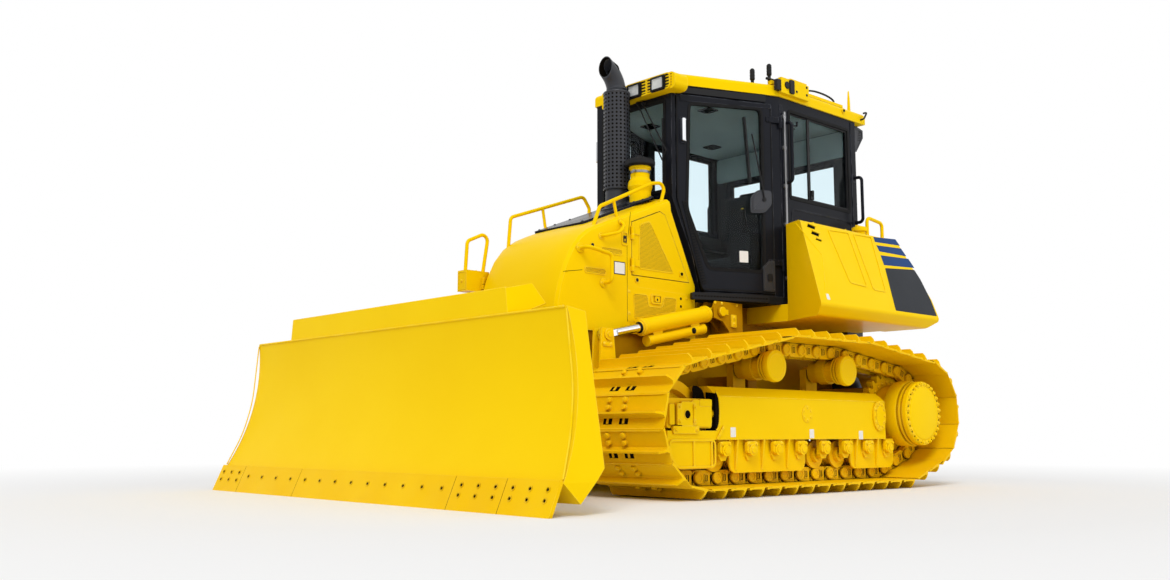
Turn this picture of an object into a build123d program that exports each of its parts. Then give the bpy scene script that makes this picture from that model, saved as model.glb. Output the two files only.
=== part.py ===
from build123d import *
import math
import os

# Crawler bulldozer with a six-way blade, in millimetres, +Z up.
# The machine faces -Y and its left side is +X. While it is modelled, y runs from the
# front end of the track's flat ground run; at the end every piece moves by centre_y,
# so that the origin is the centre of the machine's box, on the ground.

# ---- running gear
track_gauge = 2140
shoe_width = 860
shoe_pitch = 190
shoe_corner = 34
shoe_lip = 42
grouser_cut = 45
grouser_at = 45
pin_height = 52
tooth_count = 25
tooth_rise = 42
grouser_height = 55
shoe_thickness = 15
link_height = 105
link_width = 45
link_gap = 100
idler_radius = 300
idler_y = 30
idler_lift = 5
sprocket_radius = 300
sprocket_y = 2760
sprocket_z = 585
roller_radius = 90
roller_count = 8
roller_first_y = 430
roller_last_y = 2450
carrier_radius = 85
carrier_z = 905
carrier_ys = (1030, 1930)
wheel_gap = 0.3
drum_radius = 232
drum_flange = 262
drum_out = 330
cover_radius = 182
beam_inner = 210
beam_outer = 215
beam_bottom = 330
beam_slope = 65
yoke_front = 130
yoke_low = 456
yoke_high = 650
hanger_depth = 46
guard_low = 155
guard_spans = ((512, 1375), (1955, 2562))
axle_radius = 30
beam_top = 740
beam_front_y = 345
beam_rear_y = 2410

# ---- frame and engine
frame_half = 440
frame_bottom = 395
frame_front_y = -300
frame_rear_y = 3060
frame_top = 1150
engine_half = 300
engine_front_y = -80
engine_length = 980
engine_height = 800

# ---- hood
hood_half = 460
hood_wall = 25
hood_foot_y = 1080
strip_half = 270
strip_thickness = 14
strip_rise = 15.1
rail_x = 405
rail_radius = 14
door_wall = 30
panel_gap = 6

# ---- cab
cab_floor_z = 1505
cab_sill = 60
cab_header_z = 3165
cab_roof_rise = 100
roof_edge = 40
roof_overhang = 130
housing_right = -270
housing_left = 550
housing_reach = 90
housing_low_z = 3095
housing_high_z = 3228
lamp_xs = (100, 350)
lamp_half = 56
lamp_out = 6
antennas = ((480, 1830), (650, 1840))
antenna_height = 235
cab_front_half = 425
cab_half = 800
cab_front_y = 870
cab_foot_y = 1125
cab_knee_z = 2255
cab_hinge_y = 1760
cab_rear_y = 2860
cab_wall = 55
glass_thickness = 6
glass_gap = 0.3

# ---- tanks
tank_inner = cab_half + 60
tank_top_out = 1060
tank_side_out = 1325
tank_bottom_z = 1310
tank_edge_z = 1390
tank_top_z = 2090
tank_front_y = 1530
tank_notch = 215
tank_rear_y = 3250
tank_slant = 210
tank_slant_z = 1560
tank_corner = 40
grille_y = 3160
rear_half = 620
rear_low_z = 780

# ---- blade and push frame
blade_half_bottom = 1930
blade_half_top = 1776
blade_top_z = 1100
edge_top_z = 170
blade_back_y = -1240
edge_joints = (-1546, -711, 1051, 1509)
edge_gap = 5
guard_half = 1270
guard_height = 148
trunnion_y = 1550
trunnion_z = 500
trunnion_radius = 45
arm_inner = 500
arm_width = 120
arm_height = 180
yoke_y = -1050
yoke_z = 470
yoke_radius = 85
lift_x = 572
lift_pin = (-12, 1111)
lift_base = (1188, 1360)
lift_barrel_radius = 60
lift_pipe_radius = 40
lift_rod_radius = 32
lift_eye_half = 24
ear_gap = 5
ear_thickness = 16
hinge_radius = 14
hinge_pin_radius = 8
hinge_half = 30
angle_x = 520
angle_base_y = 100
angle_z = 720
angle_toe = 1.2
rib_half = 150
angle_barrel_radius = 40
angle_rod_radius = 22
tilt_y = -1130
tilt_z = 900
tilt_length = 640
tilt_barrel_radius = 42
tilt_rod_radius = 20
pin_gap = 0.3
joint_gap = 6


angle_length = (angle_base_y - blade_back_y - 10) / math.cos(math.radians(angle_toe))
angle_eye_x = angle_x + angle_length * math.sin(math.radians(angle_toe))


# ---- helpers
def block(x0, x1, y0, y1, z0, z1):
    size = (x1 - x0, y1 - y0, z1 - z0)
    return Pos((x0 + x1) / 2, (y0 + y1) / 2, (z0 + z1) / 2) * Box(*size)


def prism(points, direction, length):
    outline = make_face(Polyline(*points, close=True))
    return extrude(outline, amount=length, dir=direction)


def prism_x(outline, x0, x1):
    return prism([(x0, y, z) for y, z in outline], (1, 0, 0), x1 - x0)


def prism_y(outline, y0, y1):
    return prism([(x, y0, z) for x, z in outline], (0, 1, 0), y1 - y0)


def prism_z(outline, z0, z1):
    return prism([(x, y, z0) for x, y in outline], (0, 0, 1), z1 - z0)


def bar(start, end, radius):
    line = Vector(*end) - Vector(*start)
    base = Plane(origin=start, z_dir=line)
    along = (Align.CENTER, Align.CENTER, Align.MIN)
    return base * Cylinder(radius, line.length, align=along)


def shaft_x(x0, x1, y, z, radius):
    return bar((x0, y, z), (x1, y, z), radius)


def turned(points, spot, along):
    # a turned piece: points are (distance along the axis, radius), from radius 0 to radius 0
    frame = Plane(origin=spot, z_dir=along)
    across = frame.x_dir
    outline = [Vector(*spot) + frame.z_dir * d + across * r for d, r in points]
    face = make_face(Polyline(*[tuple(p) for p in outline], close=True))
    return revolve(face, axis=Axis(spot, along))


def turned_x(points, y, z):
    return turned(points, (track_x, y, z), (1, 0, 0))


def turned_z(points, x, y):
    return turned(points, (x, y, 0), (0, 0, 1))


def mirrored(shape):
    return mirror(shape, about=Plane.YZ)


def solids_of(*shapes):
    return Compound([solid for shape in shapes for solid in shape.solids()])


def pair(shape):
    return solids_of(shape, mirrored(shape))


def knuckle(x, y, z, strap):
    # a door's half of a hinge: a tube round the pin and the strap that carries it
    tube = bar((x, y, z - hinge_half), (x, y, z + hinge_half), hinge_radius)
    bore = bar((x, y, z - hinge_half - 1), (x, y, z + hinge_half + 1), hinge_pin_radius)
    return tube + strap - bore


def hinge_pin(x, y, z, web):
    # the fixed half of a hinge: the pin, the tube under the door's and its web
    low = z - hinge_half - pin_gap
    pin = bar((x, y, low), (x, y, z + hinge_half), hinge_pin_radius - pin_gap)
    tube = bar((x, y, low - 35), (x, y, low), hinge_radius)
    return pin + tube + web


def rail(points, bend, radius):
    path = FilletPolyline(*points, radius=bend)
    start = Plane(origin=path @ 0, z_dir=path % 0)
    return sweep(start * Circle(radius), path=path)


# ---- running gear
belt_depth = link_height + shoe_thickness + grouser_height
roller_z = belt_depth + roller_radius
idler_z = belt_depth + idler_radius + idler_lift
track_x = track_gauge / 2


def wheels():
    # the wheels in order round the loop: y, z, tread radius
    return [
        (idler_y, idler_z, idler_radius),
        (roller_first_y, roller_z, roller_radius),
        (roller_last_y, roller_z, roller_radius),
        (sprocket_y, sprocket_z, sprocket_radius),
        (carrier_ys[1], carrier_z, carrier_radius),
        (carrier_ys[0], carrier_z, carrier_radius),
    ]


def straight_runs(offset):
    # the runs between neighbouring wheels at a distance outside their treads
    ring = wheels()
    runs = []
    for (y0, z0, r0), (y1, z1, r1) in zip(ring, ring[1:] + ring[:1]):
        reach = math.hypot(y1 - y0, z1 - z0)
        normal = math.atan2(z1 - z0, y1 - y0) - math.acos((r0 - r1) / reach)
        ny, nz = math.cos(normal), math.sin(normal)
        start = (y0 + (r0 + offset) * ny, z0 + (r0 + offset) * nz)
        end = (y1 + (r1 + offset) * ny, z1 + (r1 + offset) * nz)
        runs.append((start, end, normal))
    return runs


def belt_face(offset, x):
    runs = straight_runs(offset)
    edges = []
    for i, (start, end, normal) in enumerate(runs):
        y, z, r = wheels()[i]
        before = runs[i - 1]
        turn = (normal - before[2]) % (2 * math.pi)
        middle = before[2] + turn / 2
        via = (x, y + (r + offset) * math.cos(middle), z + (r + offset) * math.sin(middle))
        edges.append(ThreePointArc((x, *before[1]), via, (x, *start)))
        edges.append(Line((x, *start), (x, *end)))
    return make_face(edges)


def belt(inner, outer, x0, x1):
    band = belt_face(outer, x0) - belt_face(inner, x0)
    return extrude(band, amount=x1 - x0, dir=(1, 0, 0))


def loop_steps():
    # the loop at the pins' height, from the start of the ground run: length, point, direction, radius
    runs = straight_runs(pin_height)
    ring = wheels()
    steps = []
    for k in range(len(ring)):
        here, after = (k + 1) % len(ring), (k + 2) % len(ring)
        start, end, normal = runs[here]
        steps.append((math.dist(start, end), start, normal, None))
        turn = (runs[after][2] - normal) % (2 * math.pi)
        y, z, r = ring[after]
        steps.append((turn * (r + pin_height), (y, z), normal, r + pin_height))
    return steps


def loop_place(steps, distance):
    # the plane at a distance along the loop: x along it, y to the left, z outwards
    for length, point, normal, radius in steps:
        if distance <= length:
            break
        distance -= length
    if radius is None:
        y = point[0] - distance * math.sin(normal)
        z = point[1] + distance * math.cos(normal)
    else:
        normal = normal + distance / radius
        y = point[0] + radius * math.cos(normal)
        z = point[1] + radius * math.sin(normal)
    out = (0, math.cos(normal), math.sin(normal))
    run = (0, -math.sin(normal), math.cos(normal))
    return Plane(origin=(track_x, y, z), x_dir=run, z_dir=out)


def shoe(pitch):
    # one track shoe about its pin line: a plate that laps under the one behind, and its grouser
    half = shoe_width / 2
    low = link_height - 5 - pin_height
    top = link_height + shoe_thickness - pin_height
    tip = top + grouser_height
    w, g, c, e = pitch / 2 - 3, grouser_at, shoe_corner, shoe_lip
    side = [(-w - e, low), (w, low), (w, top), (-w, top)]
    plate = prism([(x, -half, z) for x, z in side], (0, 1, 0), shoe_width)
    plan = [(-w - e, -half + c + e), (-w + c, -half), (w, -half), (w, half), (-w + c, half), (-w - e, half - c - e)]
    plate = plate & prism([(x, y, low - 1) for x, y in plan], (0, 0, 1), top - low + 2)
    cut = half - grouser_cut
    front = [(-half, top - 1), (half, top - 1), (cut, tip), (-cut, tip)]
    return plate + prism([(g - 6, y, z) for y, z in front], (1, 0, 0), 12)


def track():
    steps = loop_steps()
    total = sum(step[0] for step in steps)
    count = round(total / shoe_pitch)
    pitch = total / count
    first = (-grouser_at - roller_first_y) % pitch
    one = shoe(pitch)
    shoes = [loop_place(steps, first + i * pitch) * one for i in range(count)]
    near = link_gap / 2
    far = near + link_width
    outer_rail = belt(0, link_height + 1, track_x + near, track_x + far)
    inner_rail = belt(0, link_height + 1, track_x - far, track_x - near)
    return outer_rail + [inner_rail] + shoes


def toothed(radius, rise, count, half):
    points = []
    for i in range(count):
        for part, r in ((-0.32, radius), (-0.13, radius + rise), (0.13, radius + rise), (0.32, radius)):
            turn = 2 * math.pi * (i + part) / count
            points.append((sprocket_y + r * math.cos(turn), sprocket_z + r * math.sin(turn)))
    return prism_x(points, track_x - half, track_x + half)


def sprocket():
    inner = frame_half - track_x
    rim = toothed(sprocket_radius, tooth_rise, tooth_count, 28)
    out = drum_out
    steps = [(inner, 0), (inner, drum_radius - 10), (0, drum_radius - 10), (0, drum_radius), (180, drum_radius),
             (180, drum_flange), (215, drum_flange), (215, drum_radius - 25), (250, drum_radius - 25),
             (250, cover_radius), (out - 25, cover_radius), (out, cover_radius - 32), (out, 0)]
    return rim + turned_x(steps, sprocket_y, sprocket_z)


def wheel_steps(radius, half, axle):
    # a rail wheel: treads on both rails, a flange between them and one outside each
    tread = radius - wheel_gap
    inner = link_gap / 2 - 10
    outer = link_gap / 2 + link_width + 6
    side = [(inner, radius + 15), (inner, tread), (outer, tread), (outer, radius + 12), (outer + 18, radius + 12),
            (outer + 18, radius - 30), (half, radius - 35), (half, axle_radius), (axle, axle_radius), (axle, 0)]
    return [(-x, r) for x, r in reversed(side)] + side


def track_rollers():
    step = (roller_last_y - roller_first_y) / (roller_count - 1)
    steps = wheel_steps(roller_radius, beam_inner - 60, beam_outer - hanger_depth)
    first = turned_x(steps, roller_first_y, roller_z)
    return [Pos(0, i * step, 0) * first for i in range(roller_count)]


def carrier_roller(y):
    r = carrier_radius
    steps = [(-200, 0), (-200, 45), (-120, 45), (-120, r - wheel_gap), (-40, r - wheel_gap), (-40, r + 15), (40, r + 15),
             (40, r - wheel_gap), (110, r - wheel_gap), (110, r - 22), (128, r - 22), (128, r + 14), (182, r + 14),
             (196, r), (196, r - 12), (202, r - 12), (202, 0)]
    wheel = turned_x(steps, y, carrier_z)
    post = block(track_x - 200, track_x - 140, y - 70, y + 70, beam_top, carrier_z + 20)
    return wheel + post


def idler():
    tread = idler_radius - wheel_gap
    side = [(40, idler_radius + 25), (40, tread), (97, tread), (97, idler_radius - 65), (50, idler_radius - 80),
            (65, 112), (165, 110), (165, 0)]
    wheel = turned_x([(-x, r) for x, r in reversed(side)] + side, idler_y, idler_z)
    yokes = []
    middle = (yoke_low + yoke_high) / 2
    for x0, x1 in ((125, beam_outer - 10), (-beam_inner + 10, -125)):
        low, high = track_x + x0, track_x + x1
        arm = block(low, high, idler_y - yoke_front - 30, idler_y + 280, yoke_low, yoke_high)
        arm = fillet(arm.edges().filter_by(Axis.X), 22)
        rod = bar(((low + high) / 2, idler_y + 279, middle), ((low + high) / 2, beam_front_y, middle), 32)
        yokes.append(arm + rod)
    return wheel + yokes[0] + yokes[1]


def rollers():
    return solids_of(*track_rollers(), *[carrier_roller(y) for y in carrier_ys])


def guard(y0, y1, low):
    # a roller guard's outline under the beam, with cut lower corners
    high = beam_bottom + 51
    return [(y0, high), (y0, low + 60), (y0 + 18, low + 20), (y0 + 53, low), (y1 - 53, low), (y1 - 18, low + 20),
            (y1, low + 60), (y1, high)]


def hanger(y):
    # what carries the end of a roller's axle
    high, low = beam_bottom + 51, roller_z - 27
    return [(y - 45, high), (y - 45, low + 32), (y - 25, low), (y + 25, low), (y + 45, low + 32), (y + 45, high)]


def frame_section(inner, outer):
    return [(inner, beam_bottom + 50), (outer, beam_bottom + 50), (outer, beam_top - beam_slope),
            (outer - 80, beam_top), (inner, beam_top)]


def under_yoke(x0, x1):
    # the plate below the idler's yoke, rounded at its front lower corner
    y0, y1 = idler_y - 165, beam_front_y + 1
    low, high = belt_depth + 15, yoke_low - joint_gap - 10
    outline = [(y0, high), (y0, low + 100), (y0 + 25, low + 45), (y0 + 75, low + 10), (y0 + 135, low),
               (y1 - 46, low), (y1 - 46, beam_bottom + 49), (y1, beam_bottom + 49), (y1, high)]
    return prism_x(outline, x0, x1)


def track_frame():
    inner = track_x - beam_inner
    outer = track_x + beam_outer
    beam = prism_y(frame_section(inner, outer), beam_front_y, beam_rear_y)
    beam = beam - shaft_x(track_x - 115, track_x + 115, idler_y, idler_z, idler_radius + 40)
    lip = block(outer - 44, outer - 10, idler_y - 90, beam_front_y + 1, beam_bottom + 48, yoke_low - joint_gap - 10)
    step = (roller_last_y - roller_first_y) / (roller_count - 1)
    shape = beam + [lip, under_yoke(outer - 20, outer)]
    near = outer - hanger_depth
    far = track_x - beam_outer + hanger_depth
    for i in range(roller_count):
        outline = hanger(roller_first_y + i * step)
        shape = shape + prism_x(outline, near, outer - 16) + prism_x(outline, inner + 1, far)
    for y0, y1 in guard_spans:
        outline = guard(y0, y1, guard_low)
        shape = shape + prism_x(outline, near, near + 14) + prism_x(outline, far - 14, far)
    for i in guard_ribs(step):
        y = roller_first_y + (i - 0.5) * step
        high, low = beam_bottom + 51, guard_low + 20
        rib = [(near + 13, high), (outer, high), (near + 22, low), (near + 13, low)]
        shape = shape + prism_y(rib, y - 6, y + 6)
    return shape


def guard_ribs(step):
    # the gaps between rollers that lie within a guard
    found = []
    for i in range(1, roller_count):
        y = roller_first_y + (i - 0.5) * step
        if any(y0 < y < y1 for y0, y1 in guard_spans):
            found.append(i)
    return found


# ---- frame
def main_frame():
    step = hood_foot_y + 10
    outline = [(frame_front_y, 560), (frame_front_y + 160, frame_bottom), (frame_rear_y, frame_bottom),
               (frame_rear_y, cab_floor_z - cab_sill), (step + 40, cab_floor_z - cab_sill),
               (step, frame_top), (frame_front_y, frame_top)]
    hull = prism_x(outline, -frame_half, frame_half)
    engine_rear = engine_front_y + engine_length
    room = block(-engine_half - 60, engine_half + 60, engine_front_y - 60, engine_rear + 60,
                 560, frame_top + 200)
    stub_end = arm_inner + arm_width + 10
    stub = shaft_x(frame_half, stub_end, trunnion_y, trunnion_z, trunnion_radius)
    inner = track_x - beam_inner
    pivot = shaft_x(frame_half, inner, 2050, 520, 90)
    equaliser = block(frame_half, inner + 90, 1110, 1210, beam_top, beam_top + 110)
    bracket = lift_bracket()
    side = stub + pivot + equaliser + bracket
    return hull - room + side + mirrored(side)


def lift_bracket():
    # ears that hold the lift cylinder's rear pin, on the frame beside the engine
    y, z = lift_base
    half = 35 + joint_gap
    high = cab_floor_z - cab_sill - joint_gap
    root = block(frame_half, lift_x + half + 20, y + 95, y + 260, z - 190, high)
    side = [(y - 85, z - 50), (y - 85, z + 30), (y - 60, high), (y + 96, high), (y + 96, z - 150), (y + 20, z - 75)]
    outer = prism_x(side, lift_x + half, lift_x + half + 20)
    inner = prism_x(side, lift_x - half - 20, lift_x - half)
    boss = shaft_x(lift_x + half + 19, lift_x + half + 32, y, z, 45)
    pin = shaft_x(lift_x - half, lift_x + half, y, z, 25 - pin_gap)
    return root + outer + inner + boss + pin


def engine_block():
    low = 560
    rear = engine_front_y + engine_length
    return block(-engine_half, engine_half, engine_front_y, rear, low, low + engine_height)


def drawbar():
    y = frame_rear_y
    plate = block(-180, 180, y, y + 40, 420, 760)
    upper = block(-90, 90, y + 40, y + 230, 640, 680)
    lower = block(-90, 90, y + 40, y + 230, 500, 540)
    hole = bar((0, y + 160, 400), (0, y + 160, 800), 25)
    return plate + upper + lower - hole


# ---- hood
hood_bottom_z = frame_top
nose_y = -385
slope_start = (40, 1951)
slope_end = (800, 2250)
hood_outline = [
    # y, z of the middle's side view from the nose's foot over the top to the rear edge
    (nose_y, hood_bottom_z),
    (nose_y + 1, 1330),
    (-356, 1450),
    (-305, 1600),
    (-235, 1735),
    (-150, 1840),
    (-60, 1905),
    slope_start,
    slope_end,
    (815, 2130),
    (hood_foot_y, 1565),
    (hood_foot_y, hood_bottom_z),
]
hood_crown = [
    # share of the half width, how far the outline is drawn in there
    (0, 0), (0.54, 4), (0.80, 13), (0.935, 27), (0.985, 45), (1, 68),
]
engine_door_outline = [(385, 1590), (385, 1985), (690, 2105), (745, 2085), (1010, 1590)]


def hood_body(half, inset):
    # lofted between side views that are drawn in towards the sides, on the front and top alone
    fronts = 8
    sections = []
    for share, drop in [(-s, d) for s, d in reversed(hood_crown[1:])] + hood_crown:
        gaps = [-(drop + inset)] * fronts + [-inset] * 2 + [0] * 2
        points = shifted(hood_outline, gaps)
        sections.append(make_face(Polyline(*[(half * share, y, z) for y, z in points], close=True)))
    return loft(sections, ruled=True)


def hood():
    outer = hood_body(hood_half, 0)
    inner = hood_body(hood_half - hood_wall, 35) - block(-600, 600, -600, 1300, 0, hood_bottom_z + 1)
    foot = block(-hood_half + hood_wall, hood_half - hood_wall, nose_y + 35, hood_foot_y - 35,
                 hood_bottom_z - 1, hood_bottom_z + 40)
    shell = outer - inner - foot
    opening = prism_x(grown(engine_door_outline, panel_gap), hood_half - 60, hood_half + 60)
    strip = strip_prism(-5, 60)
    pins = engine_hinge_pins()
    return shell - opening - mirrored(opening) - strip + pins + mirrored(pins)


def grown(outline, gap):
    return shifted(outline, [gap] * len(outline))


def shifted(outline, gaps):
    # an outline of (y, z) points with each of its edges moved outwards by its own gap
    lines = []
    for (y0, z0), (y1, z1), gap in zip(outline, outline[1:] + outline[:1], gaps):
        run = math.hypot(y1 - y0, z1 - z0)
        ny, nz = -(z1 - z0) / run, (y1 - y0) / run
        lines.append((ny, nz, ny * y0 + nz * z0 + gap))
    corners = []
    for i in range(len(outline)):
        (a, b, c), (d, e, f) = lines[i - 1], lines[i]
        det = a * e - b * d
        corners.append(((c * e - b * f) / det, (a * f - c * d) / det))
    return corners


def strip_prism(low, high):
    # the slanted band along the middle of the hood's top
    (y0, z0), (y1, z1) = slope_start, slope_end
    run = math.hypot(y1 - y0, z1 - z0)
    uy, uz = (y1 - y0) / run, (z1 - z0) / run
    start, end = 20, run - 20
    points = []
    for along, up in ((start, low), (end, low), (end, high), (start, high)):
        points.append((y0 + along * uy - up * uz, z0 + along * uz + up * uy))
    return prism_x(points, -strip_half, strip_half)


def hood_top():
    return strip_prism(-4.7, strip_thickness)


engine_hinge = (hood_half + 16, engine_door_outline[0][0] - panel_gap)
engine_hinge_zs = (1680, 1920)


def engine_door():
    shape = prism_x(engine_door_outline, hood_half - door_wall, hood_half + 2)
    x, y = engine_hinge
    for z in engine_hinge_zs:
        strap = block(hood_half + 2, hood_half + 10, y, y + 80, z - 25, z + 25)
        shape = shape + knuckle(x, y, z, strap)
    return shape


def engine_hinge_pins():
    x, y = engine_hinge
    pins = []
    for z in engine_hinge_zs:
        low = z - hinge_half - pin_gap
        web = block(hood_half, x, y - hinge_radius, y, low - 35, low)
        pins.append(hinge_pin(x, y, z, web))
    return pins[0] + pins[1]


def under_shoulders(rise):
    # everything below the hood's sloping top, raised by a step
    (y0, z0), (y1, z1) = slope_start, slope_end
    slope = (z1 - z0) / (y1 - y0)
    y2, y3 = -500, 1500
    top2, top3 = (z0 + rise + (y - y0) * slope for y in (y2, y3))
    return prism_x([(y2, 1000), (y3, 1000), (y3, top3), (y2, top2)], -hood_half, hood_half)


def hood_rails():
    left = rail([(rail_x, 16, 1860), (rail_x, 107, 2074), (rail_x, 660, 2333), (rail_x, 820, 2362), (rail_x, 745, 2150)],
                50, rail_radius)
    right = rail([(-rail_x, -100, 1800), (-rail_x, -75, 2085), (-rail_x, 690, 2362), (-rail_x, 760, 2270),
                  (-rail_x, 745, 2150)], 45, rail_radius)
    posts = [bar((x, 290, 1990), (x, 250, z), 12) for x, z in ((rail_x, 2140), (-rail_x, 2205))]
    body = hood_body(hood_half, 0)
    return solids_of(left + posts[0] - body, right + posts[1] - body)


def grab_handles():
    box = block(-hood_half - 140, -hood_half - 30, -430, -215, 1490, 1650)
    box = box + block(-hood_half - 40, -hood_half, -290, -150, 1510, 1600)
    x = -hood_half - 85
    loop = rail([(x, -400, 1640), (x, -385, 1880), (x, -180, 1975), (x, -235, 1640)], 45, 14)
    side = rail([(hood_half, -140, 1730), (hood_half + 90, -140, 1730), (hood_half + 90, 90, 1700),
                 (hood_half + 90, 90, 1500), (hood_half, 90, 1500)], 35, 14)
    return solids_of(box + loop, side)


def exhaust_stack():
    x, y = 20, 665
    body = turned_z([(2100, 0), (2100, 92), (2330, 92), (2336, 107), (3140, 107), (3152, 80), (3152, 0)], x, y)
    body = body - under_shoulders(strip_rise)
    run = [(x, y, 3140), (x, y, 3250), (x, y - 175, 3345)]
    return body + rail(run, 110, 77) - rail([(x, y, 3160)] + run[1:], 110, 69)


cleaner_spot = (252, 690)


def precleaner():
    x, y = cleaner_spot
    steps = [(2140, 0), (2140, 84), (2290, 84), (2330, 97), (2370, 92), (2400, 74), (2468, 76), (2474, 86), (2490, 86),
             (2490, 0)]
    return turned_z(steps, x, y) - under_shoulders(strip_rise)


def precleaner_cap():
    x, y = cleaner_spot
    return turned_z([(2490, 0), (2490, 104), (2502, 116), (2536, 116), (2550, 100), (2562, 56), (2562, 0)], x, y)


# ---- cab
cab_top_z = cab_header_z
door_line = Vector(cab_front_half - cab_half, cab_front_y - cab_hinge_y, 0)
door_length = door_line.length
door_along = door_line.normalized()
door_plane = Plane(origin=(cab_half, cab_hinge_y, 0), x_dir=door_along, z_dir=(0, 0, 1))


def cab_plan(inset):
    h, r = cab_half - inset, cab_rear_y - inset
    slope = inset * 0.65
    f = cab_front_half - slope
    y = cab_front_y + inset
    return [(f, y), (h, cab_hinge_y + slope), (h, r), (-h, r), (-h, cab_hinge_y + slope), (-f, y)]


def cab_body(inset, low, high):
    # the cab's plan cut by the front wall, which slants back below the knee
    back = cab_rear_y + 10
    front = cab_front_y + inset
    foot = cab_foot_y + inset
    slope = (cab_foot_y - cab_front_y) / (cab_knee_z - cab_floor_z)
    side = [(front, 4000), (front, cab_knee_z), (foot, cab_floor_z), (foot + 200 * slope, cab_floor_z - 200),
            (back, cab_floor_z - 200), (back, 4000)]
    return prism_z(cab_plan(inset), low, high) & prism_x(side, -1000, 1000)


def cab_frame():
    low = cab_floor_z
    shell = cab_body(0, low, cab_top_z) - cab_body(cab_wall, low - 1, cab_top_z - cab_wall)
    front = block(-cab_front_half + 70, cab_front_half - 70, cab_front_y - 50, cab_front_y + 200,
                  cab_knee_z + 60, cab_top_z - 110)
    rear = block(-cab_half + 200, cab_half - 200, cab_rear_y - 200, cab_rear_y + 50, low + 800, cab_top_z - 350)
    side = block(cab_half - 200, cab_half + 50, cab_hinge_y + 130, cab_rear_y - 110, low + 830, cab_top_z - 90)
    door_hole = door_prism(door_outline(0), -60, 100)
    side_holes = side + door_hole
    pins = door_hinge_pins()
    shape = shell - front - rear - side_holes - mirrored(side_holes)
    return shape + pins + mirrored(pins)


def door_outline(margin):
    # distance from the hinge, height; the front edge slants back below the knee
    far = door_length - 12 - margin
    low = cab_floor_z + 15 + margin
    high = cab_top_z - 70 - margin
    near = 70 + margin
    return [(near, low), (far - 240, low), (far - 20, cab_knee_z), (far - 20, high), (near, high)]


def door_window(margin):
    # the window's outline in the door, in the same two lengths
    far = door_length - 118 - margin
    near = 265 + margin
    low = cab_floor_z + 195 + margin
    high = cab_top_z - 120 - margin
    return [(near, low), (far - 180, low), (far, cab_knee_z - 85), (far - 30, high - 20), (near, high)]


def door_prism(outline, inner, outer):
    # an outline on the door as a slab, from inside the wall to outside it
    normal = Vector(-door_along.Y, door_along.X, 0)
    origin = Vector(cab_half, cab_hinge_y, 0) + normal * inner
    points = [origin + door_along * w + Vector(0, 0, z) for w, z in outline]
    return prism([tuple(p) for p in points], tuple(normal), outer - inner)


door_out = 12
door_normal = Vector(-door_along.Y, door_along.X, 0)
door_hinge = Vector(cab_half, cab_hinge_y, 0) + door_normal * (door_out + 4)
door_hinge_zs = (1780, 2960)


def door_slab(w0, w1, n0, n1, z0, z1):
    # a block given along the door from its hinge, out from its plane, and in height
    origin = Vector(cab_half, cab_hinge_y, 0)
    corners = []
    for w, n in ((w0, n0), (w1, n0), (w1, n1), (w0, n1)):
        corner = origin + door_along * w + door_normal * n
        corners.append((corner.X, corner.Y))
    return prism_z(corners, z0, z1)


def cab_door():
    slab = door_prism(door_outline(panel_gap), -cab_wall + 5, door_out)
    hole = door_prism(door_window(0), -cab_wall - 20, 30)
    shape = slab - hole
    for z in door_hinge_zs:
        strap = door_slab(0, 130, door_out, door_out + 8, z - 25, z + 25)
        shape = shape + knuckle(door_hinge.X, door_hinge.Y, z, strap)
    return shape


def door_hinge_pins():
    pins = []
    for z in door_hinge_zs:
        low = z - hinge_half - pin_gap
        web = door_slab(-8, 8, -20, door_out + 4, low - 35, low)
        pins.append(hinge_pin(door_hinge.X, door_hinge.Y, z, web))
    return pins[0] + pins[1]


def door_glass():
    return door_prism(door_window(glass_gap), -20, -20 + glass_thickness)


def cab_glass():
    low = cab_floor_z
    g = glass_gap
    y = cab_front_y + 25
    front = block(-cab_front_half + 70 + g, cab_front_half - 70 - g, y, y + glass_thickness,
                  cab_knee_z + 60 + g, cab_top_z - 110 - g)
    y = cab_rear_y - 25
    rear = block(-cab_half + 200 + g, cab_half - 200 - g, y - glass_thickness, y,
                 low + 800 + g, cab_top_z - 350 - g)
    x = cab_half - 25
    side = block(x - glass_thickness, x, cab_hinge_y + 130 + g, cab_rear_y - 110 - g,
                 low + 830 + g, cab_top_z - 90 - g)
    return solids_of(front, rear, side, mirrored(side))


def roof_plan():
    points = cab_plan(-15)
    return [(x, y + roof_overhang if y > cab_rear_y else y) for x, y in points]


def cab_roof():
    cap = prism_z(roof_plan(), cab_top_z, cab_top_z + cab_roof_rise)
    cap = fillet(cap.edges().group_by(Axis.Z)[-1], roof_edge)
    y0, y1 = cab_front_y - housing_reach, cab_front_y + 60
    housing = block(housing_right, housing_left, y0, y1, housing_low_z, housing_high_z)
    sides = [e for e in housing.edges().filter_by(Axis.Y) if e.center().X > housing_left - 1]
    housing = fillet(sides, 45) - prism_z(cab_plan(-1), cab_top_z - 100, cab_top_z)
    cuts = []
    for x0, x1 in slot_runs():
        for i in range(5):
            z = housing_low_z + 22 + i * 22
            cuts.append(block(x0, x1, y0 - 1, y0 + 25, z, z + 9))
    for x in lamp_xs:
        z = (housing_low_z + housing_high_z) / 2
        cuts.append(block(x - lamp_half - 3, x + lamp_half + 3, y0 - 1, y0 + 35, z - lamp_half, z + lamp_half))
    return cap + housing - cuts


def slot_runs():
    # the spans of the cooling slots beside and between the lamps
    edge = lamp_half + 12
    a, b = lamp_xs
    return [(housing_right + 20, a - edge), (a + edge, (a + b) / 2 - 8), ((a + b) / 2 + 8, b - edge),
            (b + edge, housing_left - 35)]


def cab_floor():
    return cab_body(0, cab_floor_z - cab_sill, cab_floor_z)


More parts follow.
